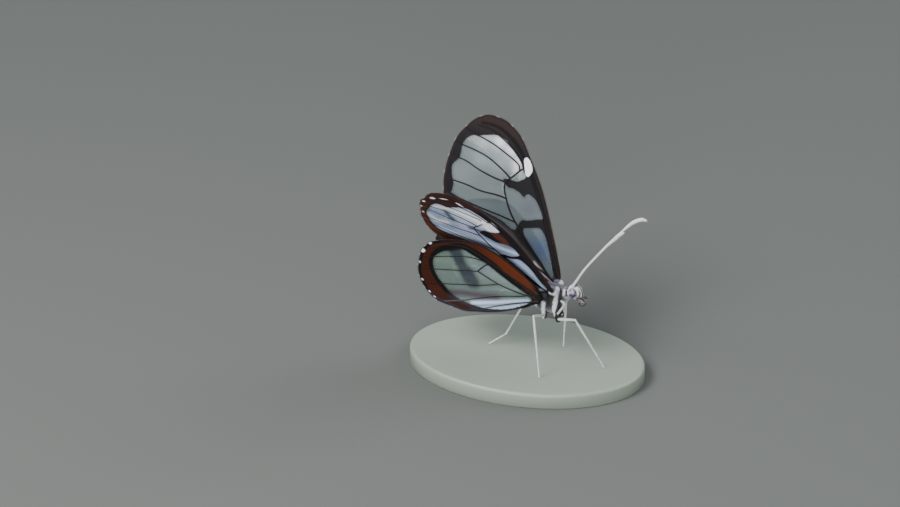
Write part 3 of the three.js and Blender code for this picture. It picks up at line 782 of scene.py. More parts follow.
def fore_upper(wing, side):
    """Upper face of the forewing, turned to the other wing."""
    at, rim, count = wing.points, wing.from_rim, len(wing.points)
    p, q = at.T
    clear = fore_windows(wing, side)
    hem = np.interp(p, [0, 3, 8, 9.5, 11.7, 14, 17, 20.2, 24], [0.2, 1.1, 3.3, 4.2, 4.8, 5.0, 5.2, 5.6, 6])
    inner = smooth(hem - q, -0.3, 0.5) * smooth(rim, 0.1, 0.7)
    # The pale line near the root is a painted highlight on the vein.
    tone = layered(plain(count, BLACK), (BROWN, smooth(q, 15.6, 17.8) * 0.7), (SLATE, inner * 0.75),
                   (ink(34, 17, 13), smooth(-rim, -0.35, -0.1)),
                   (ink(206, 204, 212), bell(to_path(at, BASE_GLINT_LINE)[0], 0.16) * 0.9))
    film, veil = clouded(at, plain(count, ink(104, 117, 119)), 0.56, UPPER_CLOUDS)
    return dict(scales=-clear, band=np.full(count, -9.0), spot=depth(at, FORE_WHITE), tone=tone, film=film,
                veil=veil, dust=smooth(-clear, -0.7, -0.1) * 0.45, rust=plain(count, RUST),
                line=layered(plain(count, ink(26, 20, 22)), (BLACK, smooth(q, 9, 14))))


def fore_under(wing, side):
    """Under face of the forewing, turned outward."""
    at, rim = np.column_stack(drawn_in(*wing.points.T)), wing.from_rim
    count = len(at)
    p, q = at.T
    clear = fore_windows(wing, side)
    outer = smooth(p, 15.5, 19.0) * smooth(q, 2.0, 6.0)
    tone = layered(plain(count, ink(20, 16, 22)), (BROWN, outer * 0.8),
                   (ink(60, 34, 26), smooth(-rim, -0.35, -0.1)))
    band = np.minimum(np.minimum(rim - 0.42, -clear - 0.5), p - 13.5) + 0.25
    band = np.maximum(band, np.minimum(depth(at, UNDER_PATCH), 0.15 - clear) - 0.1)
    # The white and pale blue-white patches and streaks of the film are painted glare.
    film, veil = clouded(at, plain(count, ink(168, 186, 222)), 0.62, UNDER_CLOUDS_AND_GLARE)
    film, veil = streaked(at, film, veil, UNDER_STREAKS_AND_GLARE)
    if side > 0:
        film, veil = blend(film, ink(118, 130, 130), np.full(count, 0.7)), veil * 0.35
    return dict(scales=-clear, band=band, tone=tone, film=film, veil=veil,
                dust=smooth(-clear, -0.8, -0.1) * 0.5,
                spot=np.maximum(spots_depth(at, FORE_SPOTS), depth(at, UNDER_WHITE) - 0.22),
                rust=layered(plain(count, ink(84, 40, 28)), (ink(58, 29, 24), smooth(q, 8, 17))),
                line=plain(count, ink(26, 22, 30)))


def hind_face(wing, under):
    """Under face of the hindwing, turned outward, or its darker upper face."""
    at, rim, count = wing.points, wing.from_rim, len(wing.points)
    p, q = at.T
    clear = depth(at, HIND_CLEAR)
    anal = smooth(-q, 0.6, 2.4) * smooth(p, 2.0, 6.0)
    band = np.minimum(rim - 0.22 - 0.26 * smooth(p, 10, 16), -depth(at, HIND_ORANGE_INNER) - 0.06)
    band = band - smooth(0.9 - p, 0, 1.0) * 2 - smooth(-q, 1.6, 2.6) * smooth(12.0 - p, 0, 2) * 0.6
    rust = layered(plain(count, ink(60, 25, 12)), (ink(92, 39, 15), smooth(p, 0.5, 2) * smooth(10 - p, 0, 5)),
                   (ink(48, 23, 18), smooth(-q, 0.5, 2.5)), (BLACK, np.full(count, 0.0 if under else 0.72)))
    cloud = smooth(depth(at, HIND_CLOUD), -0.7, 0.5)
    film, veil = clouded(at, plain(count, ink(128, 148, 142)), 0.46, HIND_CLOUDS)
    film = blend(film, ink(46, 53, 65), cloud * 0.95)
    veil = veil + (0.92 - veil) * cloud
    # The pale blue-white streaks are painted sheen.
    film, veil = streaked(at, film, veil, HIND_STREAKS_AND_SHEEN)
    return dict(scales=-clear, band=band, spot=spots_depth(at, HIND_SPOTS) - (0.0 if under else 0.12),
                tone=layered(plain(count, ink(14, 11, 13)), (ink(52, 48, 56), anal * 0.7)), film=film,
                veil=veil,
                dust=smooth(-clear, -0.7, -0.1) * 0.5 + cloud * 0.25, rust=rust,
                line=layered(plain(count, ink(28, 23, 26)), (ink(84, 80, 92), anal * 0.6)))


# Body

WHITE = ink(240, 243, 246)
DARK = ink(20, 19, 22)
LILAC = ink(128, 126, 144)
ABDOMEN_FRONT = -4.15
ABDOMEN_LENGTH = 12.2
ABDOMEN_RINGS = 8
ABDOMEN_MIDDLE = -1.95
ABDOMEN_DROP = 0.55
COXAE = [((0.0, 0.6, -2.9), (0.55, 0.88, -4.75), 0.40), ((-1.7, 0.6, -2.9), (-1.55, 0.88, -4.5), 0.40)]
HEAD_CENTRE = np.array([2.85, 0.0, -0.06])
EYE_CENTRE = np.array([2.75, 0.82, -0.02])
EYE_RADII = np.array([0.64, 0.56, 0.78])
VOXEL = 0.085

# Sections of the neck and thorax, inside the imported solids: place, top, bottom and half width.
FRONT_SECTIONS = [
    (2.3, 0.10, -0.85, 0.42), (1.65, 0.08, -0.95, 0.50), (1.25, 0.12, -1.2, 0.64), (0.8, 0.42, -2.1, 0.84),
    (0.3, 0.66, -3.3, 1.05), (-0.6, 0.78, -3.98, 1.22), (-1.6, 0.68, -3.95, 1.27), (-2.6, 0.16, -3.6, 1.17),
    (-3.4, -0.52, -3.15, 0.95), (-3.85, -0.98, -2.9, 0.80)]


def body_sections():
    """Sections from the neck to the tail, with a swelling at each abdomen ring."""
    rows = [list(row) for row in evenly(curve(FRONT_SECTIONS, 6), count=44)]
    for t in np.linspace(0.012, 0.985, 96):
        share = (t * ABDOMEN_RINGS) % 1.0
        swell = 0.93 + 0.10 * math.sin(math.pi * min(share / 0.93, 1)) ** 0.7
        radius = max(1.05 * math.sin(math.pi * (0.22 + 0.74 * t)) ** 0.55 * swell - 0.13, 0.09)
        middle = ABDOMEN_MIDDLE - ABDOMEN_DROP * min(1, t / 0.16) - 1.0 * t
        rows.append([ABDOMEN_FRONT - ABDOMEN_LENGTH * t, middle + radius, middle - radius, 0.94 * radius])
    return rows


def grown_mesh(source):
    """The object's mesh with its modifiers worked in. The object goes."""
    made = bpy.data.meshes.new_from_object(source.evaluated_get(bpy.context.evaluated_depsgraph_get()))
    bpy.data.objects.remove(source)
    return made


def skin_mesh():
    """Head, neck, thorax, hips and abdomen as one closed skin."""
    turn = full_turn(48)
    form = Shell()
    form.rings([np.column_stack([np.full(48, x), half * np.cos(turn),
                                 (top + bottom) / 2 + (top - bottom) / 2 * np.sin(turn)])
                for x, top, bottom, half in body_sections()])
    form.ball(HEAD_CENTRE, (1.14, 0.84, 1.12), 48, 32)
    form.ball((3.55, 0.0, -0.35), (0.50, 0.52, 0.62), 32, 20)
    form.ball((1.42, 0.0, -0.12), (0.42, 0.62, 0.44), 32, 20)
    for word, side in SIDES:
        for start, tip, radius in COXAE:
            path = evenly(np.array([start, tip]) * (1, side, 1), count=10)
            form.tube(path, radius * np.linspace(1.15, 0.78, 10), 20)
        form.ball((-0.1, side * 1.45, 0.15), (0.66, 0.46, 0.50))
        form.ball((-1.5, side * 1.62, -1.05), (0.60, 0.62, 0.52))
        form.ball((0.35, side * 0.95, 0.42), (0.42, 0.34, 0.30), 20, 12)
    rough = form_object("skin_form", form.verts, form.faces)
    remesh = rough.modifiers.new("one skin", "REMESH")
    remesh.mode = "VOXEL"
    remesh.voxel_size = VOXEL * MM
    soften = rough.modifiers.new("soften", "SMOOTH")
    soften.iterations = 3
    soften.factor = 0.5
    return grown_mesh(rough)


def mesh_arrays(mesh):
    """Corner places in millimetres, triangles, and normals at the corners."""
    mesh.calc_loop_triangles()
    places = np.empty(len(mesh.vertices) * 3)
    mesh.vertices.foreach_get("co", places)
    triangles = np.empty(len(mesh.loop_triangles) * 3, np.int32)
    mesh.loop_triangles.foreach_get("vertices", triangles)
    normals = np.array([tuple(v.normal) for v in mesh.vertices])
    return places.reshape(-1, 3) / MM - ORIGIN, triangles.reshape(-1, 3), normals


def stripe(x, z, foot, slope, half):
    """Share of a near-vertical stripe on the thorax side."""
    return 1 - smooth(np.abs(x - foot - slope * (z + 4.2)), half * 0.6, half * 1.3)


def thorax_mark(x, z, wide, rise):
    """Dark, with a grey-lilac back, pale stripes down the side and a pale collar."""
    flank = smooth(wide, 0.55, 0.85)
    first = stripe(x, z, -0.20, 0.17, 0.30)
    lines = np.maximum.reduce([first, stripe(x, z, -1.75, 0.10, 0.30), stripe(x, z, -2.9, 0.06, 0.22)])
    ledge = bell(z - 0.12 + 0.10 * (x + 0.6) ** 2, 0.17) * flank * smooth(x, -2.9, -2.4)
    arc = bell(wide - 0.60, 0.13) * smooth(z, 0.2, 0.6) * smooth(x, -1.7, -1.2)
    collar = bell(x - 1.44, 0.17) * bell(wide - 0.64, 0.36) * bell(z + 0.05, 0.62)
    return layered(
        plain(len(x), DARK), (LILAC, smooth(rise, 0.35, 0.85) * (0.62 + 0.25 * np.cos(wide * 5.5))),
        (WHITE, lines * flank * np.maximum(smooth(-z, 0.9, 1.6), first * 0.9)),
        (WHITE, ledge * 0.85), (WHITE, arc * (1 - smooth(x, 0.9, 1.2)) * 0.95),
        (ink(176, 178, 190), smooth(-rise, 0.2, 0.8) * 0.75),
        (DARK, bell(x - 1.02, 0.22) * smooth(wide, 0.35, 0.6) * 0.9),
        (ink(240, 239, 244), np.clip(collar * 1.8, 0, 1)), (DARK, bell(x - 1.74, 0.10) * 0.85))


def abdomen_mark(x, z):
    """Dark above, pale below, with a pale hem on each ring."""
    run = (ABDOMEN_FRONT - x) / ABDOMEN_LENGTH
    around = (z - ABDOMEN_MIDDLE + ABDOMEN_DROP + run) / 0.95
    hem = smooth((run * ABDOMEN_RINGS) % 1.0, 0.72, 0.95) * (1 - smooth(-around, 0.0, 0.4))
    return layered(plain(len(x), ink(44, 42, 46)), (ink(196, 194, 198), smooth(-around, 0.05, 0.55)),
                   (ink(104, 106, 114), hem * 0.6))


def head_mark(at, wide):
    """Dark, with pale rims round the eyes and pale stripes on the face."""
    x, y, z = at.T
    rim = bell(eye_reach(at) - 1.22, 0.22) * smooth(wide, 0.30, 0.50)
    stripes = smooth(np.cos(wide * 2 * math.pi / 0.34), -0.1, 0.6)
    crown = bell(x - 2.45, 0.30) * bell(wide - 0.34, 0.17) * smooth(z, 0.3, 0.7)
    return layered(plain(len(x), ink(46, 42, 50)), (WHITE, smooth(x, 3.1, 3.45) * stripes * 0.95),
                   (ink(150, 146, 160), smooth(-z, 0.55, 1.0) * 0.8),
                   (ink(238, 236, 242), np.clip(crown * 1.2, 0, 1)),
                   (ink(236, 233, 240), np.clip(rim * 1.25, 0, 1)))


def eye_reach(at):
    """Distance from the eye's middle, seen from the side, where 1 is the eye's edge."""
    reach = (at - EYE_CENTRE) / EYE_RADII
    return np.hypot(reach[:, 0], reach[:, 2])


def body_mark(at, up):
    """Colour of the skin and its coat at places with the surface's direction there."""
    x, y, z = at.T
    wide = np.abs(y)
    return layered(abdomen_mark(x, z), (thorax_mark(x, z, wide, up[:, 2]), smooth(x, -4.15, -3.75)),
                   (head_mark(at, wide), smooth(x, 1.75, 1.95)))


def coat_roots(places, triangles, normals, wanted, dice, where):
    """Evenly scattered roots on the skin's triangles that pass the test, with the direction there."""
    corners = places[triangles]
    area = np.linalg.norm(np.cross(corners[:, 1] - corners[:, 0], corners[:, 2] - corners[:, 0]), axis=1)
    area = area * where(corners.mean(1))
    pick = dice.choice(len(triangles), wanted, p=area / area.sum())
    a, b = dice.random(wanted), dice.random(wanted)
    over = a + b > 1
    a, b = np.where(over, 1 - a, a), np.where(over, 1 - b, b)
    share = np.column_stack([1 - a - b, a, b])
    at = (corners[pick] * share[:, :, None]).sum(1)
    up = (normals[triangles[pick]] * share[:, :, None]).sum(1)
    return at, up / np.linalg.norm(up, axis=1)[:, None]


def blade_mesh():
    """One scale or hair: a bent three-sided blade a unit long, of ten triangles."""
    verts = [(-0.5, 0, 0), (0.5, 0, 0), (0, 0, 0.4), (-0.42, 0.55, 0.10), (0.42, 0.55, 0.10), (0, 0.55, 0.42),
             (0, 1, 0.0)]
    faces = [(0, 2, 1), (0, 1, 4), (0, 4, 3), (1, 2, 5), (1, 5, 4), (2, 0, 3), (2, 3, 5), (3, 4, 6),
             (4, 5, 6), (5, 3, 6)]
    mesh = bpy.data.meshes.new("blade")
    mesh.from_pydata(verts, [], faces)
    keep_fact(mesh, "leaf", [(x + 0.5, y, 0.0) for x, y, z in verts], "FLOAT_VECTOR")
    return put("blade", mesh)


def tuft_nodes():
    """Node group that sets a blade at each root, along the lie of the coat."""
    tree = bpy.data.node_groups.new("tufts_on_roots", "GeometryNodeTree")
    for name, kind in (("Roots", "Geometry"), ("Blade", "Object"), ("Length", "Float"), ("Width", "Float"),
                       ("Lift", "Float"), ("Spread", "Float"), ("Seed", "Int"), ("Finish", "Material")):
        tree.interface.new_socket(name, in_out="INPUT", socket_type="NodeSocket" + kind)
    tree.interface.new_socket("Coat", in_out="OUTPUT", socket_type="NodeSocketGeometry")

    def node(kind, settings=None, values=None, output=0):
        made = tree.nodes.new(kind)
        for name, setting in (settings or {}).items():
            setattr(made, name, setting)
        for key, value in (values or {}).items():
            if isinstance(value, bpy.types.NodeSocket):
                tree.links.new(value, made.inputs[key])
            else:
                made.inputs[key].default_value = value
        return made.outputs[output]

    source = tree.nodes.new("NodeGroupInput").outputs
    named = lambda word, kind: node("GeometryNodeInputNamedAttribute", {"data_type": kind}, {"Name": word})
    flow, up, size = named("flow", "FLOAT_VECTOR"), named("up", "FLOAT_VECTOR"), named("size", "FLOAT")
    stray = node("FunctionNodeRandomValue", {"data_type": "FLOAT_VECTOR"},
                 {0: (-1, -1, -1), 1: (1, 1, 1), "Seed": source["Seed"]}, 0)
    vector = lambda operation, a, b: node("ShaderNodeVectorMath", {"operation": operation}, {0: a, 1: b})
    scaled = lambda a, number: node("ShaderNodeVectorMath", {"operation": "SCALE"}, {0: a, "Scale": number})
    way = vector("ADD", vector("ADD", flow, scaled(up, source["Lift"])), scaled(stray, source["Spread"]))
    turn = node("FunctionNodeAxesToRotation", {"primary_axis": "Y", "secondary_axis": "Z"}, {0: way, 1: up})
    uneven = node("FunctionNodeRandomValue", {"data_type": "FLOAT"},
                  {2: 0.72, 3: 1.2, "Seed": source["Seed"]}, 1)
    length = node("ShaderNodeMath", {"operation": "MULTIPLY"}, {0: source["Length"], 1: uneven})
    extent = node("ShaderNodeCombineXYZ", None, {0: source["Width"], 1: length, 2: source["Width"]})
    blade = node("GeometryNodeObjectInfo", None, {"Object": source["Blade"]}, "Geometry")
    tufts = node("GeometryNodeInstanceOnPoints", None,
                 {"Points": source["Roots"], "Instance": blade, "Rotation": turn,
                  "Scale": scaled(extent, size)})
    solid = node("GeometryNodeRealizeInstances", None, {0: tufts})
    dressed = node("GeometryNodeSetMaterial", None, {"Geometry": solid, "Material": source["Finish"]})
    end = tree.nodes.new("NodeGroupOutput")
    tree.links.new(dressed, end.inputs[0])
    return tree


def coat(name, roots, slot, length, width, lift, spread, seed):
    """Grows a coat piece. Roots: places, up, flow, size, mark and flat place on the unwrap."""
    at, up, flow, size, mark, patch = roots
    mesh = millimetre_mesh(name + "_roots", at)
    for key, values in (("up", up), ("flow", flow), ("patch", np.column_stack([patch, np.zeros(len(at))]))):
        keep_fact(mesh, key, values, "FLOAT_VECTOR")
    keep_fact(mesh, "size", size)
    keep_fact(mesh, "mark", mark)
    source = put(name + "_roots", mesh)
    grow = source.modifiers.new("tufts", "NODES")
    grow.node_group = TUFTS
    values = {"Blade": BLADE, "Length": length * MM, "Width": width * MM, "Lift": lift, "Spread": spread,
              "Seed": seed, "Finish": COAT}
    for socket in TUFTS.interface.items_tree:
        if socket.name in values:
            grow[socket.identifier] = values[socket.name]
    grown = grown_mesh(source)
    leaf, root = np.empty(len(grown.vertices) * 3), np.empty(len(grown.vertices) * 3)
    grown.attributes["leaf"].data.foreach_get("vector", leaf)
    grown.attributes["patch"].data.foreach_get("vector", root)
    corner = np.empty(len(grown.loops), np.int32)
    grown.loops.foreach_get("vertex_index", corner)
    spot = root.reshape(-1, 3)[:, :2] + (leaf.reshape(-1, 3)[:, :2] - 0.5) * PATCH
    grown.uv_layers.new(name="OFBake").data.foreach_set("uv", np.clip(spot, 0, 1)[corner].ravel())
    for key in ("patch", "up", "flow", "size"):
        if key in grown.attributes:
            grown.attributes.remove(grown.attributes[key])
    grown.name = name
    dress(put(name, grown), COAT)


def along_surface(flow, up):
    """The flow's share that lies in the surface."""
    flat = flow - up * (flow * up).sum(1)[:, None]
    return flat / np.maximum(np.linalg.norm(flat, axis=1), 1e-6)[:, None]


def octant_patch(way):
    """Unwraps directions from a centre onto a square."""
    way = way / np.abs(way).sum(1)[:, None]
    u, v = way[:, 1], way[:, 2]
    folded = np.column_stack([(1 - np.abs(v)) * np.where(u >= 0, 1, -1),
                              (1 - np.abs(u)) * np.where(v >= 0, 1, -1)])
    flat = np.where((way[:, 0] < 0)[:, None], folded, np.column_stack([u, v]))
    return 0.5 + 0.49 * flat


def round_patch(at, middle, start, length):
    """Unwraps a long body: the angle round it, and the place along it."""
    return np.column_stack([0.5 + np.arctan2(at[:, 1], at[:, 2] - middle) / (2 * math.pi),
                            (at[:, 0] - start) / length])


PATCH = 0.003
TUFTS = tuft_nodes()
BLADE = blade_mesh()
WING = wing_finish()
SKIN = skin_finish()
COAT = coat_finish()
LEG = limb_finish("leg_scales", ink(214, 217, 215), ink(140, 140, 142), 0.30)
FEELER = limb_finish("feeler_scales", ink(226, 222, 226), ink(146, 140, 146), 0.2)
PALP = limb_finish("palp_scales", ink(126, 116, 118), ink(44, 36, 36), 0.3)
TONGUE = limb_finish("tongue", ink(60, 44, 36), ink(30, 23, 21), 0.3)
EYE = eye_finish()

# The four wings

WINGS = {"fore": (FlatWing(FORE_OUTLINE, FORE_VEINS, 11), fore_place),
         "hind": (FlatWing(HIND_OUTLINE, HIND_VEINS, 12), hind_place)}
HAIR_END = 5.2
HAIR_TONES = {"fore": (ink(48, 44, 50), ink(140, 138, 148)), "hind": (ink(64, 34, 22), ink(122, 92, 74))}
RIM_SCALE_STEP = 0.055
RIM_CHECKS = 2.6


def wing_faces(kind, wing, side):
    """Markings of a wing's under and upper face."""
    if kind == "fore":
        return fore_under(wing, side), fore_upper(wing, side)
    return hind_face(wing, True), hind_face(wing, False)


def rim_roots(wing, kind, place, side, dice):
    """Short scales along the rim, lying outward along the wing."""
    rim = evenly(np.vstack([wing.rim, wing.rim[:1]]), RIM_SCALE_STEP)
    out = beside(unit(np.gradient(rim, axis=0)))
    if depth((rim + out * 0.05)[40:41], wing.rim)[0] > 0:
        out = -out
    far = rim[:, 0] > 2.0
    rim, out = rim[far], out[far]
    lean = np.column_stack([out[:, 0] + 0.5 * np.abs(out[:, 1]), out[:, 1]])
    layer = dice.uniform(-0.03, 0.03, len(rim))
    at = place(side, *rim.T, layer)
    flow = place(side, *(rim + lean * 0.05).T, layer) - at
    up = place(side, *rim.T, layer + 0.05) - at
    mark = plain(len(rim), ink(48, 34, 32))
    if kind == "hind":
        mark = blend(mark, ink(74, 70, 78), smooth(-rim[:, 1], 0.5, 2.5))
    checks = 0.5 + 0.5 * np.cos(np.arange(len(rim)) * RIM_SCALE_STEP * 2 * math.pi / RIM_CHECKS)
    mark = blend(mark, ink(176, 172, 176), smooth(checks, 0.86, 0.98) * 0.7 * smooth(rim[:, 0], 12, 15))
    return at, unit(up), unit(flow), np.full(len(rim), 0.55), mark, rim


def root_hairs(wing, kind, place, side, dice):
    """Hairs over the wing's root on both faces, longest at the root."""
    inner = wing.points[(wing.points[:, 0] < HAIR_END) & (wing.from_rim > 0.15)]
    inner = inner[dice.random(len(inner)) < 0.55 * smooth(HAIR_END - inner[:, 0], 0, 4.0)]
    face = np.where(dice.random(len(inner)) < 0.5, 1, -1)
    level = face * 0.10
    at = place(side, *inner.T, level)
    lie = (0.85, 0.55) if kind == "fore" else (0.85, 0.25)
    flow = place(side, *(inner + np.array(lie) * 0.05).T, level) - at
    up = (place(side, *inner.T, level + 0.05) - at) * face[:, None]
    deep, light = HAIR_TONES[kind]
    mark = blend(plain(len(inner), deep), light, dice.random(len(inner)) * 0.6)
    return at, unit(up), unit(flow), 0.9 - 0.1 * inner[:, 0], mark, inner


def fringe(word, side, kind, wing, place):
    """The coat along a wing's rim and over its root."""
    dice = np.random.default_rng(40 + side + len(kind) + len(word))
    rows = zip(rim_roots(wing, kind, place, side, dice), root_hairs(wing, kind, place, side, dice))
    *roots, flat = [np.concatenate(pair) for pair in rows]
    low, high = wing.rim.min(0), wing.rim.max(0)
    coat(f"{kind}wing_{word}_fringe", (*roots, (flat - low) / (high - low) * 0.98 + 0.01), "wing",
         0.42, 0.05, 0.12, 0.12, 7)


for kind, (wing, place) in WINGS.items():
    for word, side in SIDES:
        outer, inner = wing_faces(kind, wing, side)
        verts, faces = wing.mesh(place, side)
        facts = {key: np.concatenate([outer[key], inner[key]]) for key in outer}
        facts.update(vein=np.tile(wing.vein_edge, 2), pale=plain(2 * len(wing.points), MILK))
        piece(f"{kind}wing_{word}_membrane", verts, faces, WING, [f"{kind}wing_{word}"], facts)
        fringe(word, side, kind, wing, place)

# Skin and its coat

HEAD_BACK = 1.8
THORAX_BACK = -4.05

skin = skin_mesh()
places, triangles, normals = mesh_arrays(skin)
keep_fact(skin, "mark", body_mark(places, normals))
skin.shade_smooth()
dress(put("body_skin", skin), SKIN, ["thorax", "abdomen", "head"])


def bare_of_eyes(at):
    """Nought where an eye covers the skin."""
    return np.where((eye_reach(at) < 0.93) & (np.abs(at[:, 1]) > 0.45), 0.0, 1.0)


def body_coat(name, slot, wanted, where, lie, size, patch, *lay):
    """A coat on the part of the skin that passes the test."""
    at, up = coat_roots(places, triangles, normals, wanted, BODY_DICE, where)
    coat(name, (at, up, along_surface(lie(at), up), size(at, up), body_mark(at, up), patch(at)), slot, *lay)


def head_lie(at):
    """Back over the head, and up and forward on the face."""
    return np.where((at[:, 0] > 3.2)[:, None], (-0.1, 0.0, 0.95), (-1.0, 0.0, 0.15))


def thorax_lie(at):
    """Back along the thorax, and down on the hips."""
    return np.where((at[:, 2] < -3.6)[:, None], (-0.3, 0.0, -1.0), (-1.0, 0.0, -0.25))


def abdomen_middle(at):
    """Height of the abdomen's middle line."""
    return ABDOMEN_MIDDLE - ABDOMEN_DROP - (ABDOMEN_FRONT - at[:, 0]) / ABDOMEN_LENGTH


BODY_DICE = np.random.default_rng(5)
body_coat("head_coat", "head", 9000,
          lambda c: (c[:, 0] > HEAD_BACK) * bare_of_eyes(c) * (1 + smooth(c[:, 0], 3.0, 3.6)), head_lie,
          lambda at, up: 0.62 + 0.5 * smooth(at[:, 2], 0.4, 1.0) + 0.25 * smooth(at[:, 0], 3.4, 3.9),
          lambda at: octant_patch(at - HEAD_CENTRE), 0.23, 0.055, 0.42, 0.22, 2)
body_coat("thorax_coat", "body", 16500,
          lambda c: ((c[:, 0] <= HEAD_BACK) & (c[:, 0] > THORAX_BACK)).astype(float), thorax_lie,
          lambda at, up: 0.8 + 0.45 * smooth(up[:, 2], 0.2, 0.9) * smooth(-at[:, 0], -1.0, 1.0),
          lambda at: round_patch(at, -1.7, -4.1, 6.0), 0.34, 0.058, 0.26, 0.16, 3)
body_coat("abdomen_coat", "body", 15000,
          lambda c: (c[:, 0] <= THORAX_BACK).astype(float), lambda at: plain(len(at), (-1.0, 0.0, -0.05)),
          lambda at, up: 0.75 + 0.35 * BODY_DICE.random(len(at)) + 0.5 * smooth(-at[:, 0], 15.2, 16.2),
          lambda at: round_patch(at, abdomen_middle(at), -16.4, 12.6), 0.26, 0.055, 0.16, 0.12, 4)

# Eyes, feelers and mouth parts

FEELER_POINTS = 260
FEELER_JOINTS = 44
TONGUE_POINTS = 120
ANTENNA_PATHS = {
    "left": [(2.5, 0.42, 0.55), (2.6, 0.5, 0.95), (2.92, 0.65, 1.5), (4.1, 1.0, 3.5), (6.57, 1.6, 6.73),
             (8.0, 2.0, 8.44), (9.58, 2.4, 10.17), (10.87, 2.75, 11.4), (12.03, 3.0, 11.95),
             (12.75, 3.18, 11.82)],
    "right": [(2.5, 0.42, 0.55), (2.6, 0.5, 0.95), (3.15, 0.62, 1.9), (4.73, 0.9, 4.59), (7.64, 1.7, 8.58),
              (9.42, 2.4, 10.82), (10.49, 2.8, 12.12), (11.1, 3.0, 12.62)],
}
PALP_PATH = [(3.25, 0.5, -0.75), (3.7, 0.68, -0.98), (4.12, 0.76, -1.18), (4.5, 0.73, -1.19),
             (4.78, 0.67, -0.97)]
TONGUE_PATH = [(3.2, 0, -0.8), (3.7, 0, -1.05), (4.2, 0, -1.3), (4.5, 0, -1.75), (4.25, 0, -2.2),
               (3.8, 0, -2.28), (3.55, 0, -2.0), (3.72, 0, -1.72), (4.0, 0, -1.78)]
FORELEG_PATH = [(0.55, 0.4, -1.4), (0.95, 0.62, -1.62), (1.55, 1.05, -1.78), (1.3, 1.4, -2.4),
                (0.74, 1.7, -3.25)]


def limb_roots(path, radii, wanted, dice, pale, dark, dark_share, tall=1.0):
    """Roots of short scales round a limb, lying towards its tip."""
    pick = dice.uniform(0.02, 0.98, wanted) * (len(path) - 1)
    low = pick.astype(int)
    part = (pick - low)[:, None]
    centre = path[low] * (1 - part) + path[low + 1] * part
    way = unit(path[low + 1] - path[low])
    radius = radii[low, None] * (1 - part) + radii[low + 1, None] * part
    side = unit(np.cross(way, ANY_WAY))
    angle = dice.uniform(0, 2 * math.pi, wanted)
    up = side * np.cos(angle)[:, None] + np.cross(way, side) * np.sin(angle)[:, None]
    mark = blend(plain(wanted, pale), dark, (dice.random(wanted) < dark_share).astype(float))
    patch = np.column_stack([0.01 + 0.98 * pick / (len(path) - 1), 0.02 + 0.96 * angle / (2 * math.pi)])
    return centre + up * radius * 0.92, up, way, np.full(wanted, tall), mark, patch


def eye_ball(word, side):
    """A little more than half of an oval, open side hidden in the head."""
    turn = full_turn(64)
    form = Shell()
    form.rings([EYE_CENTRE * (1, side, 1) + EYE_RADII * np.column_stack([
        math.sin(reach) * np.cos(turn), np.full(64, side * math.cos(reach)), math.sin(reach) * np.sin(turn)])
        for reach in np.linspace(0, math.pi * 0.52, 30)[1:]])
    piece(f"eye_{word}_facets", form.verts, form.faces, EYE, [f"eye_{word}"])


def antenna(word, side):
    """A jointed feeler that swells to its club."""
    path = evenly(curve(np.array(ANTENNA_PATHS[word]) * (1, side, 1), 12), count=FEELER_POINTS)
    t = np.linspace(0, 1, FEELER_POINTS)
    club = smooth(t, 0.70, 0.90) * (1 - 0.75 * smooth(t, 0.955, 1.0))
    joints = (0.5 + 0.5 * np.cos(2 * math.pi * t * FEELER_JOINTS)) ** 3
    form = Shell()
    form.tube(path, (0.155 + 0.05 * bell(t - 0.055, 0.022) + 0.15 * club) * (1 - 0.09 * joints),
              dust=np.pad(joints, 2, "edge"))
    form.dusted(f"antenna_{word}_joints", FEELER, "feeler", f"antenna_{word}")


def small_limb(name, finish, slot, points, count, taper, scales, lay):
    """A palp or folded foreleg with its coat of short scales."""
    path = evenly(curve(points, 10), count=count)
    radii = 0.17 - taper * np.linspace(0, 1, count) ** 2
    form = Shell()
    form.tube(path, radii)
    form.dusted(f"{name}_skin", finish, slot, name)
    wanted, seed, *tones = scales
    coat(f"{name}_coat", limb_roots(path, radii, wanted, np.random.default_rng(seed), *tones), slot, *lay)


for word, side in SIDES:
    eye_ball(word, side)
    antenna(word, side)
    small_limb(f"palp_{word}", PALP, "feeler", np.array(PALP_PATH) * (1, side, 1), 40, 0.09,
               (700, 21 + side, ink(206, 200, 202), ink(38, 29, 28), 0.82), (0.15, 0.04, 0.35, 0.15, 5))
    small_limb(f"foreleg_{word}", LEG, "leg", np.array(FORELEG_PATH) * (1, side, 1), 48, 0.06,
               (900, 31 + side, ink(214, 213, 216), ink(64, 62, 66), 0.25), (0.17, 0.04, 0.3, 0.14, 6))

tongue = Shell()
tongue.tube(evenly(curve(TONGUE_PATH, 12), count=TONGUE_POINTS),
            0.135 - 0.05 * np.linspace(0, 1, TONGUE_POINTS),
            dust=np.pad(0.5 + 0.5 * np.cos(np.arange(TONGUE_POINTS) * 1.3), 2, constant_values=0.5))
tongue.dusted("proboscis_coil", TONGUE, "feeler", "proboscis")

# Walking legs: hip, knee, ankle, foot and side.

MID_HIP = (0.62, 1.0, -4.55)
HIND_HIP = (-1.55, 1.0, -4.25)
LEGS = {
    "leg_mid_right": (MID_HIP, (3.86, 3.0, -3.14), (6.75, 1.22, -9.6), (7.6, 0.7, FOOT_LEVEL), -1),
    "leg_mid_left": (MID_HIP, (0.3, 4.0, -4.2), (0.07, 3.9, -9.4), (0.0, 3.85, FOOT_LEVEL), 1),
    "leg_hind_right": (HIND_HIP, (-2.0, 5.0, -2.4), (-1.05, 6.0, -8.6), (-0.6, 6.5, FOOT_LEVEL), -1),
    "leg_hind_left": (HIND_HIP, (-5.4, 3.2, -3.8), (-8.4, 1.8, -10.0), (-10.5, 1.3, FOOT_LEVEL), 1),
}
TOE_JOINTS = np.array([0.0, 0.42, 0.60, 0.74, 0.86, 1.0])
LEG_SCALES = (900, 900, 500)
SKIN_DUST = 0.35
CLAW_DUST = 0.9


def seed_of(word):
    """A steady number from a word."""
    return sum((i + 1) * ord(letter) for i, letter in enumerate(word))


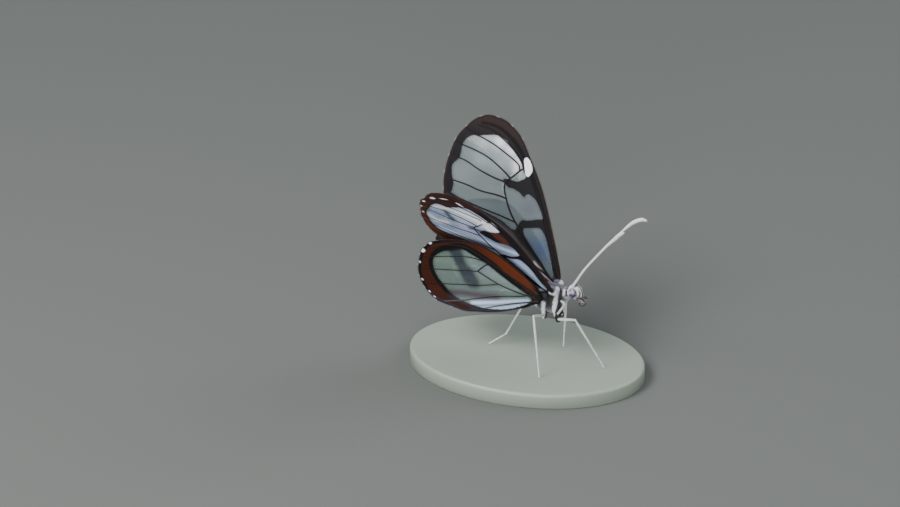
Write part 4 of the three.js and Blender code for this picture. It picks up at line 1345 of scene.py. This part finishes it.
def toe_path(ankle, foot, down):
    """From the ankle to the pad's tip, which stays just above the base."""
    tip = foot + down * min(0.22 / abs(down[2]), 0.5)
    tip[2] = max(tip[2], BASE_TOP + 0.07)
    return evenly(np.array([ankle, tip]), count=60)


def add_spurs_and_claws(form, ankle, tip, down):
    """Two spurs at the ankle and two hooked claws at the tip."""
    across = unit(np.cross(down, [0, 0, 1.0]))
    ahead = unit(np.array([down[0], down[1], 0.0]) + 1e-6)
    for way in (across, -across):
        spur = ankle - down * 0.02 + way * 0.08
        form.tube(evenly(np.array([spur, spur + down * 0.45 + way * 0.16]), count=6),
                  np.linspace(0.04, 0.012, 6), 6, CLAW_DUST)
        claw = tip - down * 0.03 + way * 0.04
        hook = curve([claw, claw + way * 0.09 + ahead * 0.10 + (0, 0, 0.02),
                      claw + way * 0.11 + ahead * 0.20 + (0, 0, -0.05)], 4)
        hook[:, 2] = np.maximum(hook[:, 2], BASE_TOP + 0.03)
        form.tube(hook, np.linspace(0.035, 0.01, len(hook)), 6, CLAW_DUST)


def leg(name, hip, knee, ankle, foot, side):
    """A walking leg with thigh, shank and spurs, five toe joints, pad and claws."""
    hip, knee, ankle, foot = (np.array(p) * (1, side, 1) for p in (hip, knee, ankle, foot))
    down = unit(foot - ankle)
    t = np.linspace(0, 1, 24)
    thigh = (evenly(np.array([hip - unit(knee - hip) * 0.35, knee]), count=24),
             0.15 + 0.06 * np.sin(math.pi * np.clip(t * 0.9 + 0.1, 0, 1)) ** 0.8)
    t = np.linspace(0, 1, 30)
    shank = (evenly(np.array([knee, ankle]), count=30),
             0.115 + 0.045 * smooth(t, 0, 0.12) * (1 - smooth(t, 0.35, 1.0)) + 0.03 * smooth(t, 0.88, 1.0))
    t = np.linspace(0, 1, 60)
    joint = np.clip(np.searchsorted(TOE_JOINTS, t, "right") - 1, 0, 4)
    into = (t - TOE_JOINTS[joint]) / np.diff(TOE_JOINTS)[joint]
    toes = (toe_path(ankle, foot, down),
            0.085 + 0.032 * smooth(into, 0.1, 0.92) * (1 - smooth(into, 0.94, 1.0)))
    form = Shell()
    form.tube(*thigh, dust=SKIN_DUST)
    form.tube(*shank, dust=SKIN_DUST)
    form.tube(*toes, 12, np.r_[0.4, 0.4, 0.2 + 0.5 * smooth(into, 0.7, 1.0), 0.6, 0.6])
    add_spurs_and_claws(form, ankle, toes[0][-1], down)
    form.dusted(f"{name}_skin", LEG, "leg", f"{name}_femur", f"{name}_tibia", f"{name}_tarsus")
    dice = np.random.default_rng(seed_of(name))
    tones = ink(212, 214, 214), ink(70, 70, 74)
    parts = [limb_roots(*part, wanted, dice, *tones, share, tall) for part, wanted, share, tall
             in zip((thigh, shank, toes), LEG_SCALES, (0.10, 0.07, 0.12), (1.0, 0.8, 0.6))]
    roots = [np.concatenate(group) for group in zip(*parts)]
    roots[5][:, 0] = roots[5][:, 0] / 3 + np.repeat([0, 1 / 3, 2 / 3], LEG_SCALES)
    coat(f"{name}_coat", roots, "leg", 0.16, 0.042, 0.22, 0.1, 8)


for name, places_and_side in LEGS.items():
    leg(name, *places_and_side)

bpy.data.objects.remove(BLADE)

# The low oval base with a rounded top edge

BASE_CENTRE_X = -4.5
BASE_HALF_LENGTH = 18.0
BASE_HALF_WIDTH = 12.0
BASE_THICK = 2.4
BASE_EDGE = 0.5
BASE_CHAMFER = 0.12

# Inset and height of each ring, from the underside to the middle of the top
levels = [(BASE_CHAMFER, 0.0), (0.0, BASE_CHAMFER)]
for angle in np.linspace(0, math.pi / 2, 9):
    levels.append((BASE_EDGE * (1 - math.cos(angle)), BASE_THICK - BASE_EDGE * (1 - math.sin(angle))))
levels += [(inset, BASE_THICK) for inset in (4.0, 8.0, 11.0)]
turn = full_turn(160)
base = Shell()
base.rings([np.column_stack([BASE_CENTRE_X + (BASE_HALF_LENGTH - inset) * np.cos(turn),
                             (BASE_HALF_WIDTH - inset) * np.sin(turn),
                             np.full(160, BASE_TOP - BASE_THICK + height)]) for inset, height in levels])
piece("stand_base_oval", base.verts, base.faces, base_finish(), ["stand_base"])

# Floor, light and camera

FLOOR_SIZE = 6
LIT_PLACE = Vector((0, 0, 0.018))

bpy.ops.mesh.primitive_plane_add(size=FLOOR_SIZE, location=(0, 0, 0))
floor = bpy.context.object
floor.name = "studio_floor"
floor.data.materials.append(floor_finish())


def aim(made, place, way):
    """Sets an object at a place and turns it the way given."""
    made.location = place
    made.rotation_euler = Vector(way).to_track_quat("-Z", "Y").to_euler()


def soft_light(name, place, size, power, tint=(1, 1, 1)):
    """A square soft light turned to the butterfly."""
    data = bpy.data.lights.new(name, "AREA")
    data.size = size
    data.energy = power
    data.color = tint
    aim(put(name, data), place, LIT_PLACE - Vector(place))


soft_light("key_light", (-0.18, -0.22, 0.34), 0.20, 2.3, (1.0, 0.98, 0.95))
soft_light("far_light", (0.28, 0.20, 0.26), 0.26, 0.8, (0.94, 0.97, 1.0))
soft_light("front_light", (0.06, -0.42, 0.09), 0.22, 1.5)

world = bpy.data.worlds.new("studio_air")
world.use_nodes = True
air = world.node_tree.nodes["Background"].inputs
air["Color"].default_value = (0.80, 0.84, 0.88, 1)
air["Strength"].default_value = 0.55
bpy.context.scene.world = world

# The camera looks as the photo does, from one metre away.
CAMERA_TARGET = (np.array([-15.76, -2.56, 4.58]) + ORIGIN) * MM
CAMERA_WAY = np.array([0.27285, -0.83974, 0.46947])
view = bpy.data.cameras.new("photo_view")
view.lens = 270
view.sensor_width = 36
view.clip_start = 0.01
camera = put("photo_view", view)
aim(camera, CAMERA_TARGET + CAMERA_WAY, -CAMERA_WAY)
bpy.context.scene.camera = camera
